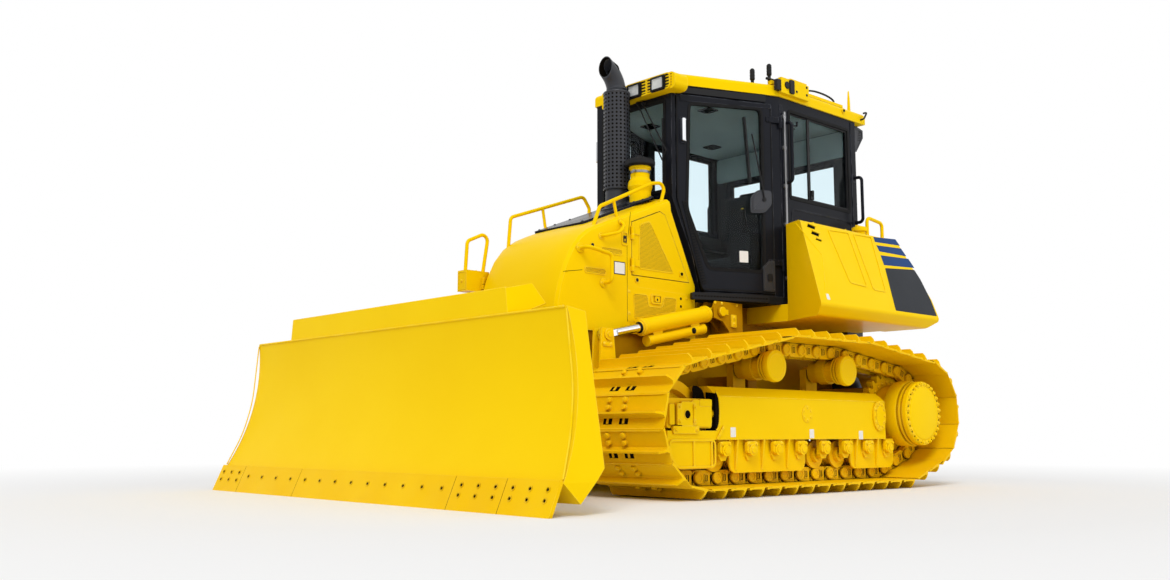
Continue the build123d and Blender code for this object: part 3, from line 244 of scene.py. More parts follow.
# finishes
finishDefaults = dict(coat=0.0, grain=260, height=0.0004, wearAndHighlight=0.1, dust=0.0, radius=0.002, metal=0.0,
        spec=0.4, sheen=(1, 1, 1))
finishes = {
    # colour, second colour that it drifts to, edge colour (worn edges, and a painted highlight on the yellow
    # and dark paints), and how strong each effect is
    "yellowPaint": dict(color=(0.92, 0.615, 0.001), drift=(0.905, 0.595, 0.001), edge=(1.0, 0.86, 0.16),
            rough=0.36, deep=(0.45, 0.21, 0.001), reach=0.05, wearAndHighlight=0.55, radius=0.005, sheen=(1.0, 0.75, 0.1),
            spec=0.06),
    "yellowCast": dict(color=(0.9, 0.565, 0.001), drift=(0.86, 0.51, 0.001), edge=(1.0, 0.78, 0.1),
            rough=0.42, deep=(0.24, 0.1, 0.001), reach=0.07, grain=140, height=0.0015, wearAndHighlight=0.5, dust=0.02,
            radius=0.004, sheen=(1.0, 0.75, 0.1), spec=0.09),
    # a darker, browner copy of the yellow paint for the hull between the tracks: painted shade
    "yellowPaintedShade": dict(color=(0.52, 0.27, 0.001), drift=(0.46, 0.23, 0.001), edge=(0.8, 0.45, 0.01),
            rough=0.45, deep=(0.12, 0.05, 0.001), reach=0.4, grain=140, height=0.001, wearAndHighlight=0.2, radius=0.004,
            sheen=(1.0, 0.75, 0.1), spec=0.09),
    "charcoalPaint": dict(color=(0.032, 0.034, 0.042), drift=(0.026, 0.028, 0.034), edge=(0.1, 0.11, 0.13),
            rough=0.36, grain=240, height=0.0008, wearAndHighlight=0.4, radius=0.004, spec=0.3),
    "cabPaint": dict(color=(0.0085, 0.0095, 0.0145), drift=(0.0065, 0.0075, 0.011), edge=(0.17, 0.18, 0.215),
            rough=0.24, grain=240, height=0.0005, wearAndHighlight=0.8, radius=0.004, spec=0.09),
    "blackPlastic": dict(color=(0.007, 0.007, 0.008), drift=(0.011, 0.011, 0.012), edge=(0.04, 0.04, 0.045),
            rough=0.5, grain=420, height=0.0015, wearAndHighlight=0.2, dust=0.02, spec=0.2),
    "blackRubber": dict(color=(0.005, 0.005, 0.006), drift=(0.009, 0.009, 0.009), edge=(0.02, 0.02, 0.02),
            rough=0.7, grain=300, height=0.0012, dust=0.03, spec=0.15),
    # near black: real dark joints along panel seams, and painted shade on flat plates that stand for holes,
    # slots, windows and shadow gaps
    "darkGapAndPaintedShade": dict(color=(0.008, 0.006, 0.004), drift=(0.005, 0.004, 0.003), edge=(0.01, 0.01, 0.01),
            rough=0.9, grain=80, height=0.001, wearAndHighlight=0.0, spec=0.02),
    "greyPanel": dict(color=(0.012, 0.015, 0.021), drift=(0.01, 0.013, 0.018), edge=(0.05, 0.055, 0.065),
            rough=0.38, height=0.0006, wearAndHighlight=0.2, radius=0.003, spec=0.12),
    "stripeBlue": dict(color=(0.001, 0.042, 0.17), drift=(0.001, 0.037, 0.15), edge=(0.01, 0.06, 0.22),
            rough=0.32, spec=0.08),
    "labelWhite": dict(color=(0.82, 0.82, 0.8), drift=(0.76, 0.76, 0.73), edge=(0.9, 0.9, 0.9), rough=0.45,
            coat=0.2, grain=200, height=0.0003, dust=0.05, radius=0.001),
    "headliner": dict(color=(0.29, 0.37, 0.35), drift=(0.25, 0.32, 0.31), edge=(0.42, 0.5, 0.48), rough=0.9,
            grain=700, height=0.003, radius=0.003),
    "seatFabric": dict(color=(0.01, 0.011, 0.013), drift=(0.016, 0.017, 0.02), edge=(0.05, 0.05, 0.055),
            rough=0.85, grain=900, height=0.004, dust=0.02, radius=0.003),
    "engineIron": dict(color=(0.07, 0.068, 0.062), drift=(0.045, 0.043, 0.04), edge=(0.2, 0.2, 0.19),
            rough=0.6, grain=120, height=0.003, wearAndHighlight=0.3, dust=0.1, radius=0.004),
    "chromeRod": dict(color=(0.74, 0.75, 0.77), drift=(0.68, 0.69, 0.71), edge=(0.85, 0.85, 0.86), rough=0.12,
            grain=500, height=0.0002, metal=1.0),
    "boltSteel": dict(color=(0.3, 0.3, 0.31), drift=(0.22, 0.22, 0.22), edge=(0.6, 0.6, 0.6), rough=0.38,
            grain=300, height=0.001, wearAndHighlight=0.5, dust=0.05, radius=0.001, metal=1.0),
    "silverTrim": dict(color=(0.62, 0.63, 0.65), drift=(0.55, 0.56, 0.58), edge=(0.8, 0.8, 0.8), rough=0.28,
            grain=400, wearAndHighlight=0.2, metal=1.0),
    "amberLens": dict(color=(0.8, 0.28, 0.01), drift=(0.7, 0.22, 0.01), edge=(0.9, 0.5, 0.1), rough=0.2,
            coat=0.6, grain=90, height=0.002, wearAndHighlight=0.0),
}

finishShared = {"dustColor": (0.5, 0.42, 0.3), "creviceShare": 0.9, "coatRough": 0.12, "bumpStrength": 0.5}


def mixColor(tree, mask, first, second):
    node = tree.nodes.new("ShaderNodeMix")
    node.data_type = "RGBA"
    sockets = [i for i in node.inputs if i.type == "RGBA"]
    for socket, value in zip(sockets, (first, second)):
        if isinstance(value, tuple):
            socket.default_value = (*value, 1)
        else:
            tree.links.new(value, socket)
    tree.links.new(mask, node.inputs[0])
    return [o for o in node.outputs if o.type == "RGBA"][0]


def useGroup(tree, group, **values):
    node = tree.nodes.new("ShaderNodeGroup")
    node.node_tree = group
    for label, value in values.items():
        node.inputs[label.replace("_", " ")].default_value = value
    return node


def newShader(name):
    material = bpy.data.materials.new(name)
    material.use_nodes = True
    tree = material.node_tree
    tree.nodes.clear()
    out = tree.nodes.new("ShaderNodeOutputMaterial")
    shader = tree.nodes.new("ShaderNodeBsdfPrincipled")
    tree.links.new(shader.outputs[0], out.inputs[0])
    return material, tree, shader


def makeFinish(name):
    s = {**finishDefaults, **finishes[name]}
    material, tree, shader = newShader(name)
    grain = useGroup(tree, surfaceGrain, Drift_Scale=2.5, Grain_Scale=s["grain"])
    edge = useGroup(tree, edgeWearAndHighlight, Radius=s["radius"], Break_Up=9.0)
    dust = useGroup(tree, dustFall, Amount=s["dust"], Scale=7.0)
    drift = mapRange(tree, grain.outputs["Drift"], 0.3, 0.7)
    body = mixColor(tree, drift, s["color"], s["drift"])
    # edges take the edge colour: real wear on steel and iron, a painted highlight along the edges of the
    # yellow and dark paints
    wornAndLitEdge = mathNode(tree, "MULTIPLY", edge.outputs[0], s["wearAndHighlight"])
    body = mixColor(tree, wornAndLitEdge, body, s["edge"])
    body = mixColor(tree, dust.outputs[0], body, finishShared["dustColor"])
    if "deep" in s:
        crevice = useGroup(tree, creviceShade, Distance=s["reach"])
        body = mixColor(tree, mathNode(tree, "MULTIPLY", crevice.outputs[0], finishShared["creviceShare"]),
                body, s["deep"])
    tree.links.new(body, shader.inputs["Base Color"])
    uneven = mapRange(tree, grain.outputs["Drift"], 0.2, 0.8, s["rough"] * 0.85, min(1.0, s["rough"] * 1.2))
    dusty = mathNode(tree, "ADD", uneven, mathNode(tree, "MULTIPLY", dust.outputs[0], 0.5))
    tree.links.new(dusty, shader.inputs["Roughness"])
    bump = newNode(tree, "ShaderNodeBump", {"Distance": s["height"], "Strength": finishShared["bumpStrength"],
                                            "Height": grain.outputs["Grain"]})
    tree.links.new(bump.outputs[0], shader.inputs["Normal"])
    plain = {"Metallic": s["metal"], "Coat Weight": s["coat"], "Coat Roughness": finishShared["coatRough"],
             "Specular IOR Level": s["spec"], "Specular Tint": (*s["sheen"], 1)}
    for label, value in plain.items():
        shader.inputs[label].default_value = value
    return material


glassSettings = {"tint": (0.86, 0.95, 0.98), "lensTint": (0.95, 0.97, 0.98), "ior": 1.13, "lensIor": 1.25}


def makeGlass(name, tint, rough, ior):
    material, tree, shader = newShader(name)
    shader.inputs["Base Color"].default_value = (*tint, 1)
    shader.inputs["Transmission Weight"].default_value = 1.0
    shader.inputs["IOR"].default_value = ior
    grain = useGroup(tree, surfaceGrain, Drift_Scale=1.5, Grain_Scale=40.0)
    smear = mapRange(tree, grain.outputs["Drift"], 0.3, 0.8, rough, rough + 0.02)
    tree.links.new(smear, shader.inputs["Roughness"])
    return material


def makeHolePattern():
    # 1 inside each round hole of a punched sheet, on faces that stand along local x
    group, start, end = newGroup("holePattern", [("Pitch", 0.012), ("Hole", 0.3)], ["Hole"])
    where = group.nodes.new("ShaderNodeTexCoord")
    split = group.nodes.new("ShaderNodeSeparateXYZ")
    group.links.new(where.outputs["Object"], split.inputs[0])
    across = mathNode(group, "DIVIDE", split.outputs["Y"], start.outputs["Pitch"])
    high = mathNode(group, "DIVIDE", split.outputs["Z"], mathNode(group, "MULTIPLY", start.outputs["Pitch"],
            0.866))
    row = mathNode(group, "FLOOR", high)
    shifted = mathNode(group, "ADD", across, mathNode(group, "MULTIPLY", row, 0.5))
    u = mathNode(group, "SUBTRACT", mathNode(group, "FRACT", shifted), 0.5)
    v = mathNode(group, "SUBTRACT", mathNode(group, "FRACT", high), 0.5)
    away = mathNode(group, "ADD", mathNode(group, "MULTIPLY", u, u), mathNode(group, "MULTIPLY", v, v))
    reach = mathNode(group, "SQRT", away)
    group.links.new(mathNode(group, "LESS_THAN", reach, start.outputs["Hole"]), end.inputs["Hole"])
    return group


holePattern = makeHolePattern()
meshSettings = {"sheet": (0.9, 0.58, 0.001), "behind": (0.22, 0.13, 0.001), "pitch": 0.011, "hole": 0.33,
        "rough": 0.5, "spec": 0.1}


def makeMesh():
    # painted sheet with rows of round holes; the holes take a dark colour, painted shade for the space behind
    s = meshSettings
    material, tree, shader = newShader("yellowMesh")
    holes = useGroup(tree, holePattern, Pitch=s["pitch"], Hole=s["hole"])
    tree.links.new(mixColor(tree, holes.outputs[0], s["sheet"], s["behind"]), shader.inputs["Base Color"])
    shader.inputs["Roughness"].default_value = s["rough"]
    shader.inputs["Specular IOR Level"].default_value = s["spec"]
    return material


finish = {name: makeFinish(name) for name in finishes}
finish["yellowMesh"] = makeMesh()
finish["windowGlass"] = makeGlass("windowGlass", glassSettings["tint"], 0.0, glassSettings["ior"])
finish["lensGlass"] = makeGlass("lensGlass", glassSettings["lensTint"], 0.02, glassSettings["lensIor"])
print("finishes made:", len(finish))


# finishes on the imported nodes
nodeFinish = {
    "yellowPaint": ["hood", "roof_box", "grab_handles", "hood_rails", "precleaner", "cab_roof", "tank_left",
            "tank_right", "drawbar",
                    "tank_fittings", "c_frame", "blade_yoke", "blade", "spill_guard", "tilt_barrel",
                    "angle_barrel_left", "angle_barrel_right", "lift_barrel_left", "lift_barrel_right",
                    "engine_door_left", "engine_door_right", "track_frame_left", "track_frame_right"],
    "yellowCast": ["rollers_left", "rollers_right",
                   "idler_left", "idler_right", "sprocket_left", "sprocket_right", "cutting_edge"],
    # the hull between the tracks takes the darker yellow of painted shade
    "yellowPaintedShade": ["main_frame"],
    "charcoalPaint": ["rear_box", "radiator_housing", "rear_grille"],
    "cabPaint": ["hood_top", "cab_frame", "cab_handles"],
    "blackRubber": ["cab_floor"],
    "engineIron": ["engine_block", "fan"],
    "windowGlass": ["cab_glass"],
    "chromeRod": ["lift_rod_left", "lift_rod_right", "angle_rod_left", "angle_rod_right", "tilt_rod"],
    "blackPlastic": ["consoles", "precleaner_cap", "roof_antennas"],
    "silverTrim": ["roof_lamps"],
}


def dressNodes():
    for name, nodes in nodeFinish.items():
        for node in nodes:
            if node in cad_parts:
                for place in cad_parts[node].material_slots:
                    place.material = finish[name]


def makeSmoothing(limit):
    # shading only: facets that meet at a small angle read as one curved surface
    tree = bpy.data.node_groups.new("smoothShading", "GeometryNodeTree")
    for way in ("INPUT", "OUTPUT"):
        tree.interface.new_socket("Geometry", in_out=way, socket_type="NodeSocketGeometry")
    names = ("NodeGroupInput", "GeometryNodeMergeByDistance", "GeometryNodeRemoveAttribute",
            "GeometryNodeSetShadeSmooth",
             "GeometryNodeSetShadeSmooth", "NodeGroupOutput")
    chain = [tree.nodes.new(name) for name in names]
    for near, far in zip(chain, chain[1:]):
        tree.links.new(near.outputs[0], far.inputs[0])
    chain[1].inputs["Distance"].default_value = 0.00005
    chain[2].inputs["Name"].default_value = "custom_normal"
    chain[4].domain = "EDGE"
    chain[4].inputs["Shade Smooth"].default_value = False
    corner = tree.nodes.new("GeometryNodeInputMeshEdgeAngle")
    sharp = tree.nodes.new("FunctionNodeCompare")
    sharp.operation = "GREATER_THAN"
    sharp.inputs["B"].default_value = math.radians(limit)
    tree.links.new(corner.outputs[0], sharp.inputs["A"])
    tree.links.new(sharp.outputs[0], chain[4].inputs["Selection"])
    return tree


def smoothNodes(nodes, limit):
    tree = makeSmoothing(limit)
    for node in nodes:
        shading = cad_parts[node].modifiers.new("smoothShading", "NODES")
        shading.node_group = tree


dressNodes()
smoothNodes(["hood"], 24)
print("nodes dressed")

# mesh tools
def at(origin=(0, 0, 0), along=(1, 0, 0), up=(0, 0, 1)):
    # a local frame: x along, z up, -y stands out of a face whose x runs to the viewer's right
    x = Vector(along).normalized()
    z = Vector(up)
    z = (z - x * z.dot(x)).normalized()
    m = Matrix((x, z.cross(x), z)).transposed().to_4x4()
    m.translation = Vector((origin[0], origin[1] + shiftY, origin[2]))
    return m


def sideFace(x, y=0, z=0):
    # a face on the machine's left, seen from that side
    return at((x, y, z), (0, 1, 0))


def frontFace(y):
    return at((0, y, 0))


def rearFace(y):
    return at((0, y, 0), (-1, 0, 0))


def spin(degrees, axis="X"):
    return Matrix.Rotation(math.radians(degrees), 4, axis)


def turns(count):
    return [2 * math.pi * i / count for i in range(count)]


def grid(columns, rows):
    return [(x, z) for x in columns for z in rows]


def square(x0, x1, z0, z1):
    return [(x0, z0), (x1, z0), (x1, z1), (x0, z1)]


def outFrom(m, distance):
    return m @ Matrix.Translation((0, -distance, 0))


def flipped(m):
    # a face looking down instead of up
    return m @ Matrix.Rotation(math.pi, 4, "X")


def addRing(bm, points, m):
    return [bm.verts.new(m @ Vector(p)) for p in points]


def addSkin(bm, rings, slot, closed=True, caps=True):
    # faces between rings of the same count of corners
    made = []
    count = len(rings[0])
    for low, high in zip(rings, rings[1:]):
        for i in range(count if closed else count - 1):
            j = (i + 1) % count
            made.append(bm.faces.new((low[i], low[j], high[j], high[i])))
    if caps:
        made.append(bm.faces.new(list(reversed(rings[0]))))
        made.append(bm.faces.new(rings[-1]))
    for face in made:
        face.material_index = slot
        face.smooth = True


def addBox(bm, lo, hi, m, slot=0):
    (x0, y0, z0), (x1, y1, z1) = lo, hi
    rings = [addRing(bm, [(x0, y0, z), (x1, y0, z), (x1, y1, z), (x0, y1, z)], m) for z in (z0, z1)]
    addSkin(bm, rings, slot)


def addPlate(bm, outline, out, m, slot=0, back=0.0):
    # an outline of local (x, z) points standing out of the face by a distance
    near = addRing(bm, [(x, -back, z) for x, z in outline], m)
    far = addRing(bm, [(x, -out, z) for x, z in outline], m)
    addSkin(bm, [near, far], slot)


def rounded(x0, x1, z0, z1, r, steps=4):
    # a rectangle with rounded corners as (x, z) points
    points = []
    for cx, cz, start in ((x1 - r, z0 + r, -90), (x1 - r, z1 - r, 0), (x0 + r, z1 - r, 90), (x0 + r, z0 + r,
            180)):
        for i in range(steps + 1):
            a = math.radians(start + 90 * i / steps)
            points.append((cx + r * math.cos(a), cz + r * math.sin(a)))
    return points


def softened(outline, r, steps=3):
    # an outline with each corner cut by a small curve
    points = []
    count = len(outline)
    for i in range(count):
        a, b, c = (Vector(outline[(i + k) % count]) for k in (-1, 0, 1))
        before = b + (a - b).normalized() * min(r, (a - b).length * 0.45)
        after = b + (c - b).normalized() * min(r, (c - b).length * 0.45)
        for k in range(steps + 1):
            t = k / steps
            p = before * (1 - t) ** 2 + b * 2 * t * (1 - t) + after * t ** 2
            points.append((p.x, p.y))
    return points


def ringOf(x, z, r, steps=24, shift=0.0, high=None):
    # points round a circle, or round an oval with its own half height
    return [(x + r * math.cos(a), z + (high or r) * math.sin(a))
            for a in [2 * math.pi * (i + shift) / steps for i in range(steps)]]


def addPads(bm, m, slot, pads):
    # rounded pads on one face: x0, x1, z0, z1, corner radius, how far it stands out
    for *shape, out in pads:
        addPlate(bm, rounded(*shape), out, m, slot)


def addFrame(bm, outline, width, out, m, slot=0, back=0.0):
    # a band of even width inside an outline, standing out of the face
    inner = drawnIn(outline, width)
    rings = []
    for points, depth in ((outline, back), (outline, out), (inner, out), (inner, back)):
        rings.append(addRing(bm, [(x, -depth, z) for x, z in points], m))
    addSkin(bm, rings + [rings[0]], slot, caps=False)


def drawnIn(outline, width):
    # an anticlockwise outline moved inwards
    points = []
    count = len(outline)
    for i in range(count):
        a, b, c = (Vector(outline[(i + k) % count]) for k in (-1, 0, 1))
        u, v = (b - a).normalized(), (c - b).normalized()
        n = Vector((-u.y - v.y, u.x + v.x))
        n = n.normalized() if n.length > 1e-6 else Vector((-u.y, u.x))
        scale = max(0.35, n.dot(Vector((-u.y, u.x))))
        p = b + n * (width / scale)
        points.append((p.x, p.y))
    return points


def addLathe(bm, profile, m, slot=0, steps=32, depth=0.0):
    # (radius, height) points turned about local z, with optional ribs round it
    rings = []
    for r, h in profile:
        ring = []
        for i, a in enumerate(turns(steps)):
            ribbed = r - (depth * (i % 2) if r > depth * 3 else 0)
            ring.append((ribbed * math.cos(a), ribbed * math.sin(a), h))
        rings.append(addRing(bm, ring, m))
    addSkin(bm, rings, slot)


def addBolt(bm, spot, m, radius=0.012, height=0.01, slot=0, washer=True):
    # a hexagon head on a face, at local (x, z), turned a little by its place
    x, z = spot
    turn = (x * 7.3 + z * 3.1) % 1.0
    local = m @ Matrix.Translation((x, 0, z)) @ spin(90) @ Matrix.Rotation(turn, 4, "Z")
    if washer:
        addLathe(bm, [(radius * 1.45, -0.001), (radius * 1.45, height * 0.22), (radius * 1.3, height * 0.3)],
                local, slot, 12)
    addLathe(bm, [(radius, 0), (radius, height * 0.8), (radius * 0.82, height)], local, slot, 6)


def addBolts(bm, spots, m, *shape):
    for spot in spots:
        addBolt(bm, spot, m, *shape)


def bentPath(points, bend, steps=5):
    # the points with each inner corner rounded
    path = [Vector(points[0])]
    for a, b, c in zip(points, points[1:], points[2:]):
        a, b, c = Vector(a), Vector(b), Vector(c)
        before = b + (a - b).normalized() * min(bend, (a - b).length * 0.48)
        after = b + (c - b).normalized() * min(bend, (c - b).length * 0.48)
        for k in range(steps + 1):
            t = k / steps
            path.append(before * (1 - t) ** 2 + b * 2 * t * (1 - t) + after * t ** 2)
    path.append(Vector(points[-1]))
    return path


def addTube(bm, points, radius, m=None, bend=0.03, slot=0, steps=12):
    m = m or at()
    path = bentPath(points, bend)
    side = None
    rings = []
    for i, p in enumerate(path):
        run = (path[min(i + 1, len(path) - 1)] - path[max(i - 1, 0)]).normalized()
        if side is None:
            side = run.orthogonal().normalized()
        side = (side - run * side.dot(run)).normalized()
        other = run.cross(side)
        ring = [p + (side * math.cos(a) + other * math.sin(a)) * radius for a in turns(steps)]
        rings.append(addRing(bm, ring, m))
    addSkin(bm, rings, slot)


def mirrorX(bm):
    for v in bm.verts:
        v.co.x = -v.co.x
    bmesh.ops.reverse_faces(bm, faces=bm.faces)


def makePiece(name, bm, finishNames, bevel, body, angle=38):
    bmesh.ops.recalc_face_normals(bm, faces=bm.faces)
    mesh = bpy.data.meshes.new(name)
    bm.to_mesh(mesh)
    bm.free()
    for label in finishNames:
        mesh.materials.append(finish[label])
    mesh.set_sharp_from_angle(angle=math.radians(angle))
    piece = linkObject(name, mesh)
    if bevel:
        edge = piece.modifiers.new("softEdges", "BEVEL")
        edge.width = bevel
        edge.segments = 2
        edge.limit_method = "ANGLE"
        edge.angle_limit = math.radians(angle)
    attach(piece, body)
    return piece


def makeOne(name, build, finishNames, bevel=0.0, body="machine"):
    bm = bmesh.new()
    build(bm)
    return makePiece(name, bm, finishNames, bevel, body)


def makePair(name, build, finishNames, bevel=0.0, body="machine"):
    # the same build on both sides; {} in the body's name takes the side
    pieces = []
    for side in ("left", "right"):
        bm = bmesh.new()
        build(bm)
        if side == "right":
            mirrorX(bm)
        label = name + side.capitalize()
        pieces.append(makePiece(label, bm, finishNames, bevel, body.format(side)))
    return pieces


# running gear
gear = {
    "trackX": 1.07, "railOuter": 0.095, "shoePitch": 0.19, "pinHeight": 0.052, "linkHeight": 0.105,
    "shoeThick": 0.015,
    "grouserAt": 0.045, "firstRoller": 0.43,
    # y, z, tread radius of the wheels that the chain goes round
    "wheels": [(0.03, 0.48, 0.3), (0.43, 0.265, 0.09), (2.45, 0.265, 0.09), (2.76, 0.585, 0.3), (1.93, 0.905,
            0.085),
               (1.03, 0.905, 0.085)],
    "railInner": 0.05, "shoeHalf": 0.43, "grouser": 0.053,
}


def chainRuns(offset):
    ring = gear["wheels"]
    runs = []
    for (y0, z0, r0), (y1, z1, r1) in zip(ring, ring[1:] + ring[:1]):
        reach = math.hypot(y1 - y0, z1 - z0)
        normal = math.atan2(z1 - z0, y1 - y0) - math.acos((r0 - r1) / reach)
        ny, nz = math.cos(normal), math.sin(normal)
        start = (y0 + (r0 + offset) * ny, z0 + (r0 + offset) * nz)
        end = (y1 + (r1 + offset) * ny, z1 + (r1 + offset) * nz)
        runs.append((start, end, normal))
    return runs


def chainSteps():
    runs = chainRuns(gear["pinHeight"])
    ring = gear["wheels"]
    steps = []
    for k in range(len(ring)):
        here, after = (k + 1) % len(ring), (k + 2) % len(ring)
        start, end, normal = runs[here]
        steps.append((math.dist(start, end), start, normal, None))
        turn = (runs[after][2] - normal) % (2 * math.pi)
        y, z, r = ring[after]
        steps.append((turn * (r + gear["pinHeight"]), (y, z), normal, r + gear["pinHeight"]))
    return steps


def chainFrames():
    # a local frame for each shoe: x along the chain, z outwards, at the middle of the left track
    steps = chainSteps()
    total = sum(step[0] for step in steps)
    count = round(total / gear["shoePitch"])
    pitch = total / count
    first = (-gear["grouserAt"] - gear["firstRoller"]) % pitch
    frames = []
    for i in range(count):
        distance = (first + i * pitch) % total
        for length, point, normal, radius in steps:
            if distance <= length:
                break
            distance -= length
        if radius is None:
            y, z = point[0] - distance * math.sin(normal), point[1] + distance * math.cos(normal)
        else:
            normal = normal + distance / radius
            y, z = point[0] + radius * math.cos(normal), point[1] + radius * math.sin(normal)
        run, out = (0, -math.sin(normal), math.cos(normal)), (0, math.cos(normal), math.sin(normal))
        frames.append(at((gear["trackX"], y, z), run, out))
    return frames, pitch


def buildLinks(bm):
    # two rails of link bodies; each link of the outer one has a round boss with a dark arc of painted shadow
    # in the gap round it, and a bolt window that is a dark plate of painted shade
    s = gear
    frames, pitch = chainFrames()
    half, low, high = pitch / 2, -s["pinHeight"] + 0.001, s["linkHeight"] - s["pinHeight"] - 0.003
    outline = softened([(-half * 1.18, low * 0.35), (-half * 0.8, low), (half * 0.86, low), (half * 1.02,
            low * 0.5),
                        (half * 1.02, high), (-half * 1.1, high)], 0.016, 2)
    for m in frames:
        side = m @ Matrix(((1, 0, 0, 0), (0, -1, 0, 0), (0, 0, 1, 0), (0, 0, 0, 1)))
        addPlate(bm, outline, s["railOuter"], side, 0, back=s["railInner"])
        addPlate(bm, outline, -s["railOuter"], side, 0, back=-s["railInner"])
        boss = m @ Matrix.Translation((-half * 0.5, s["railOuter"], 0)) @ spin(-90)
        addLathe(bm, [(0.044, -0.001), (0.044, 0.016), (0.039, 0.021), (0.026, 0.021), (0.025, 0.017)], boss,
                0, 20)
        window = rounded(half * 0.2, half * 0.64, -0.027, 0.029, 0.006, 2)
        addFrame(bm, rounded(half * 0.2, half * 0.62, -0.028, 0.03, 0.008, 2), 0.006, s["railOuter"] + 0.005,
                side, 0,
                 back=s["railOuter"] - 0.001)
        addPlate(bm, window, s["railOuter"] + 0.0016, side, 1, back=s["railOuter"])
        addPlate(bm, rounded(half * 0.36, half * 0.44, -0.02, 0.02, 0.002, 1), s["railOuter"] + 0.004, side,
                0, back=s["railOuter"])
        arc = [(-half * 0.5 + r * math.cos(a), r * math.sin(a)) for r, turns in ((0.0485, range(9, 25)),
                (0.0435, range(24, 8, -1)))
               for a in [math.radians(k * 10) for k in turns]]
        addPlate(bm, list(reversed(arc)), s["railOuter"] + 0.0012, side, 1, back=s["railOuter"])


def shoeSection(tip, reach):
    # the shoe's (x, z) section: lip, plate, grouser and the low front that goes under the next shoe
    s = gear
    t = s["linkHeight"] + s["shoeThick"] - s["pinHeight"]
    g = s["grouserAt"]
    return [(-0.098, t - 0.012), (-0.094, t + 0.004), (-0.084, t + 0.005), (-0.07, t), (g - 0.02, t),
            (g - 0.01, t + 0.008),
            (g - 0.006, t + tip), (g + 0.006, t + tip), (g + 0.01, t + 0.004), (g + 0.02,
                    t - 0.01), (reach - 0.01, t - 0.012),
            (reach, t - 0.01), (reach, t - 0.014), (g, t - 0.016)]


def buildShoes(bm):
    # each shoe is lofted from end to end; the grouser's ends are rounded off
    s = gear
    frames = chainFrames()[0]
    half = s["shoeHalf"]
    stations = [(-half, 0.01, 0.136), (-half + 0.012, 0.034, 0.144), (-half + 0.032, s["grouser"], 0.15),
                (half - 0.032, s["grouser"], 0.15), (half - 0.012, 0.034, 0.144), (half, 0.01, 0.136)]
    for m in frames:
        rings = []
        for across, tip, reach in stations:
            rings.append(addRing(bm, [(x, across, z) for x, z in shoeSection(tip, reach)], m))
        addSkin(bm, rings, 0)


def buildShoeTrim(bm):
    # four round bolts on each shoe, and the mud windows in front of the grouser, drawn as dark boxes of
    # painted shade
    s = gear
    frames = chainFrames()[0]
    top = s["linkHeight"] + s["shoeThick"] - s["pinHeight"]
    for m in frames:
        for across in (-0.0725, 0.0725):
            for along in (-0.052, -0.002):
                spot = m @ Matrix.Translation((along, across, top))
                addLathe(bm, [(0.0245, -0.001), (0.0245, 0.003), (0.02, 0.004), (0.02, 0.014), (0.016, 0.02),
                        (0.007, 0.022)], spot, 0, 14)
            window = m @ Matrix.Translation((0.0, across, top - 0.012))
            addBox(bm, (0.057, -0.04, -0.003), (0.104, 0.04, 0.0022), window, 1)
            addBox(bm, (0.06, -0.009, -0.003), (0.1, 0.009, 0.006), window)


frameTrim = {
    "face": 1.285, "cover": (1.368, 0.563), "coverRadius": 0.062, "oval": (2.316, 0.56), "labels": [(0.52,
            0.43), (1.42, 0.42), (2.06, 0.41)],
    "hubFace": 1.2685, "hubZ": 0.308, "firstRoller": 0.43, "rollerPitch": 0.2886,
}


def buildFrameTrim(bm):
    # covers, bolts, seams and blank plates on the outer side of the track frame
    s = frameTrim
    m = sideFace(s["face"])
    y, z = s["cover"]
    r = s["coverRadius"]
    turned = sideFace(s["face"], y, z)
    addPlate(bm, ringOf(0, 0, r, 28), 0.005, turned)
    addBolts(bm, ringOf(y, z, r * 0.74, 6, 0.5), sideFace(s["face"] + 0.005), 0.008, 0.006)
    oy, oz = s["oval"]
    shape = ringOf(oy, oz, 0.086, 40, 0, 0.118)
    addPlate(bm, shape, 0.014, m)
    addPlate(bm, drawnIn(shape, 0.034), 0.018, m)
    addBolts(bm, ringOf(oy, oz, 0.068, 12, 0, 0.099), sideFace(s["face"] + 0.014), 0.009, 0.009)
    addPlate(bm, square(0.36, 2.395, 0.668, 0.674), 0.003, m)
    for y, z in s["labels"]:
        addPlate(bm, rounded(y - 0.027, y + 0.027, z - 0.033, z + 0.033, 0.004, 2), 0.002, m, 1)
    addFrame(bm, softened([(-0.06, 0.196), (0.33, 0.196), (0.33, 0.384), (-0.128, 0.384), (-0.128, 0.29)],
            0.045, 4), 0.014, 0.01, m)
    addPlate(bm, rounded(0.106, 0.122, 0.205, 0.376, 0.006, 2), 0.008, m)
    addPlate(bm, rounded(0.284, 0.3, 0.205, 0.376, 0.006, 2), 0.008, m)
    addPlate(bm, [(0.34, 0.386), (0.356, 0.38), (0.424, 0.462), (0.412, 0.474)], 0.01, m)
    addBolts(bm, ((0.366, 0.412), (0.402, 0.455)), sideFace(s["face"] + 0.01), 0.006, 0.005)
    # dark plates of painted shadow in the gap round the yoke's notch and under its lip
    front = frontFace(0.345)
    addPlate(bm, [(1.195, 0.442), (1.2835, 0.442), (1.2835, 0.69), (1.195, 0.7)], 0.0015, front, 2)
    mouth = [(0.338, 0.444), (0.356, 0.452), (0.372, 0.492), (0.378, 0.575), (0.372, 0.65), (0.356, 0.69),
            (0.338, 0.702)]
    addPlate(bm, mouth, 0.0012, m, 2)
    addTube(bm, [(s["face"] + 0.002, y + 0.004, z) for y, z in mouth], 0.006, None, 0.02, 0, 8)
    addBox(bm, (1.2, -0.125, 0.4395), (1.2835, 0.344, 0.4415), at(), 2)


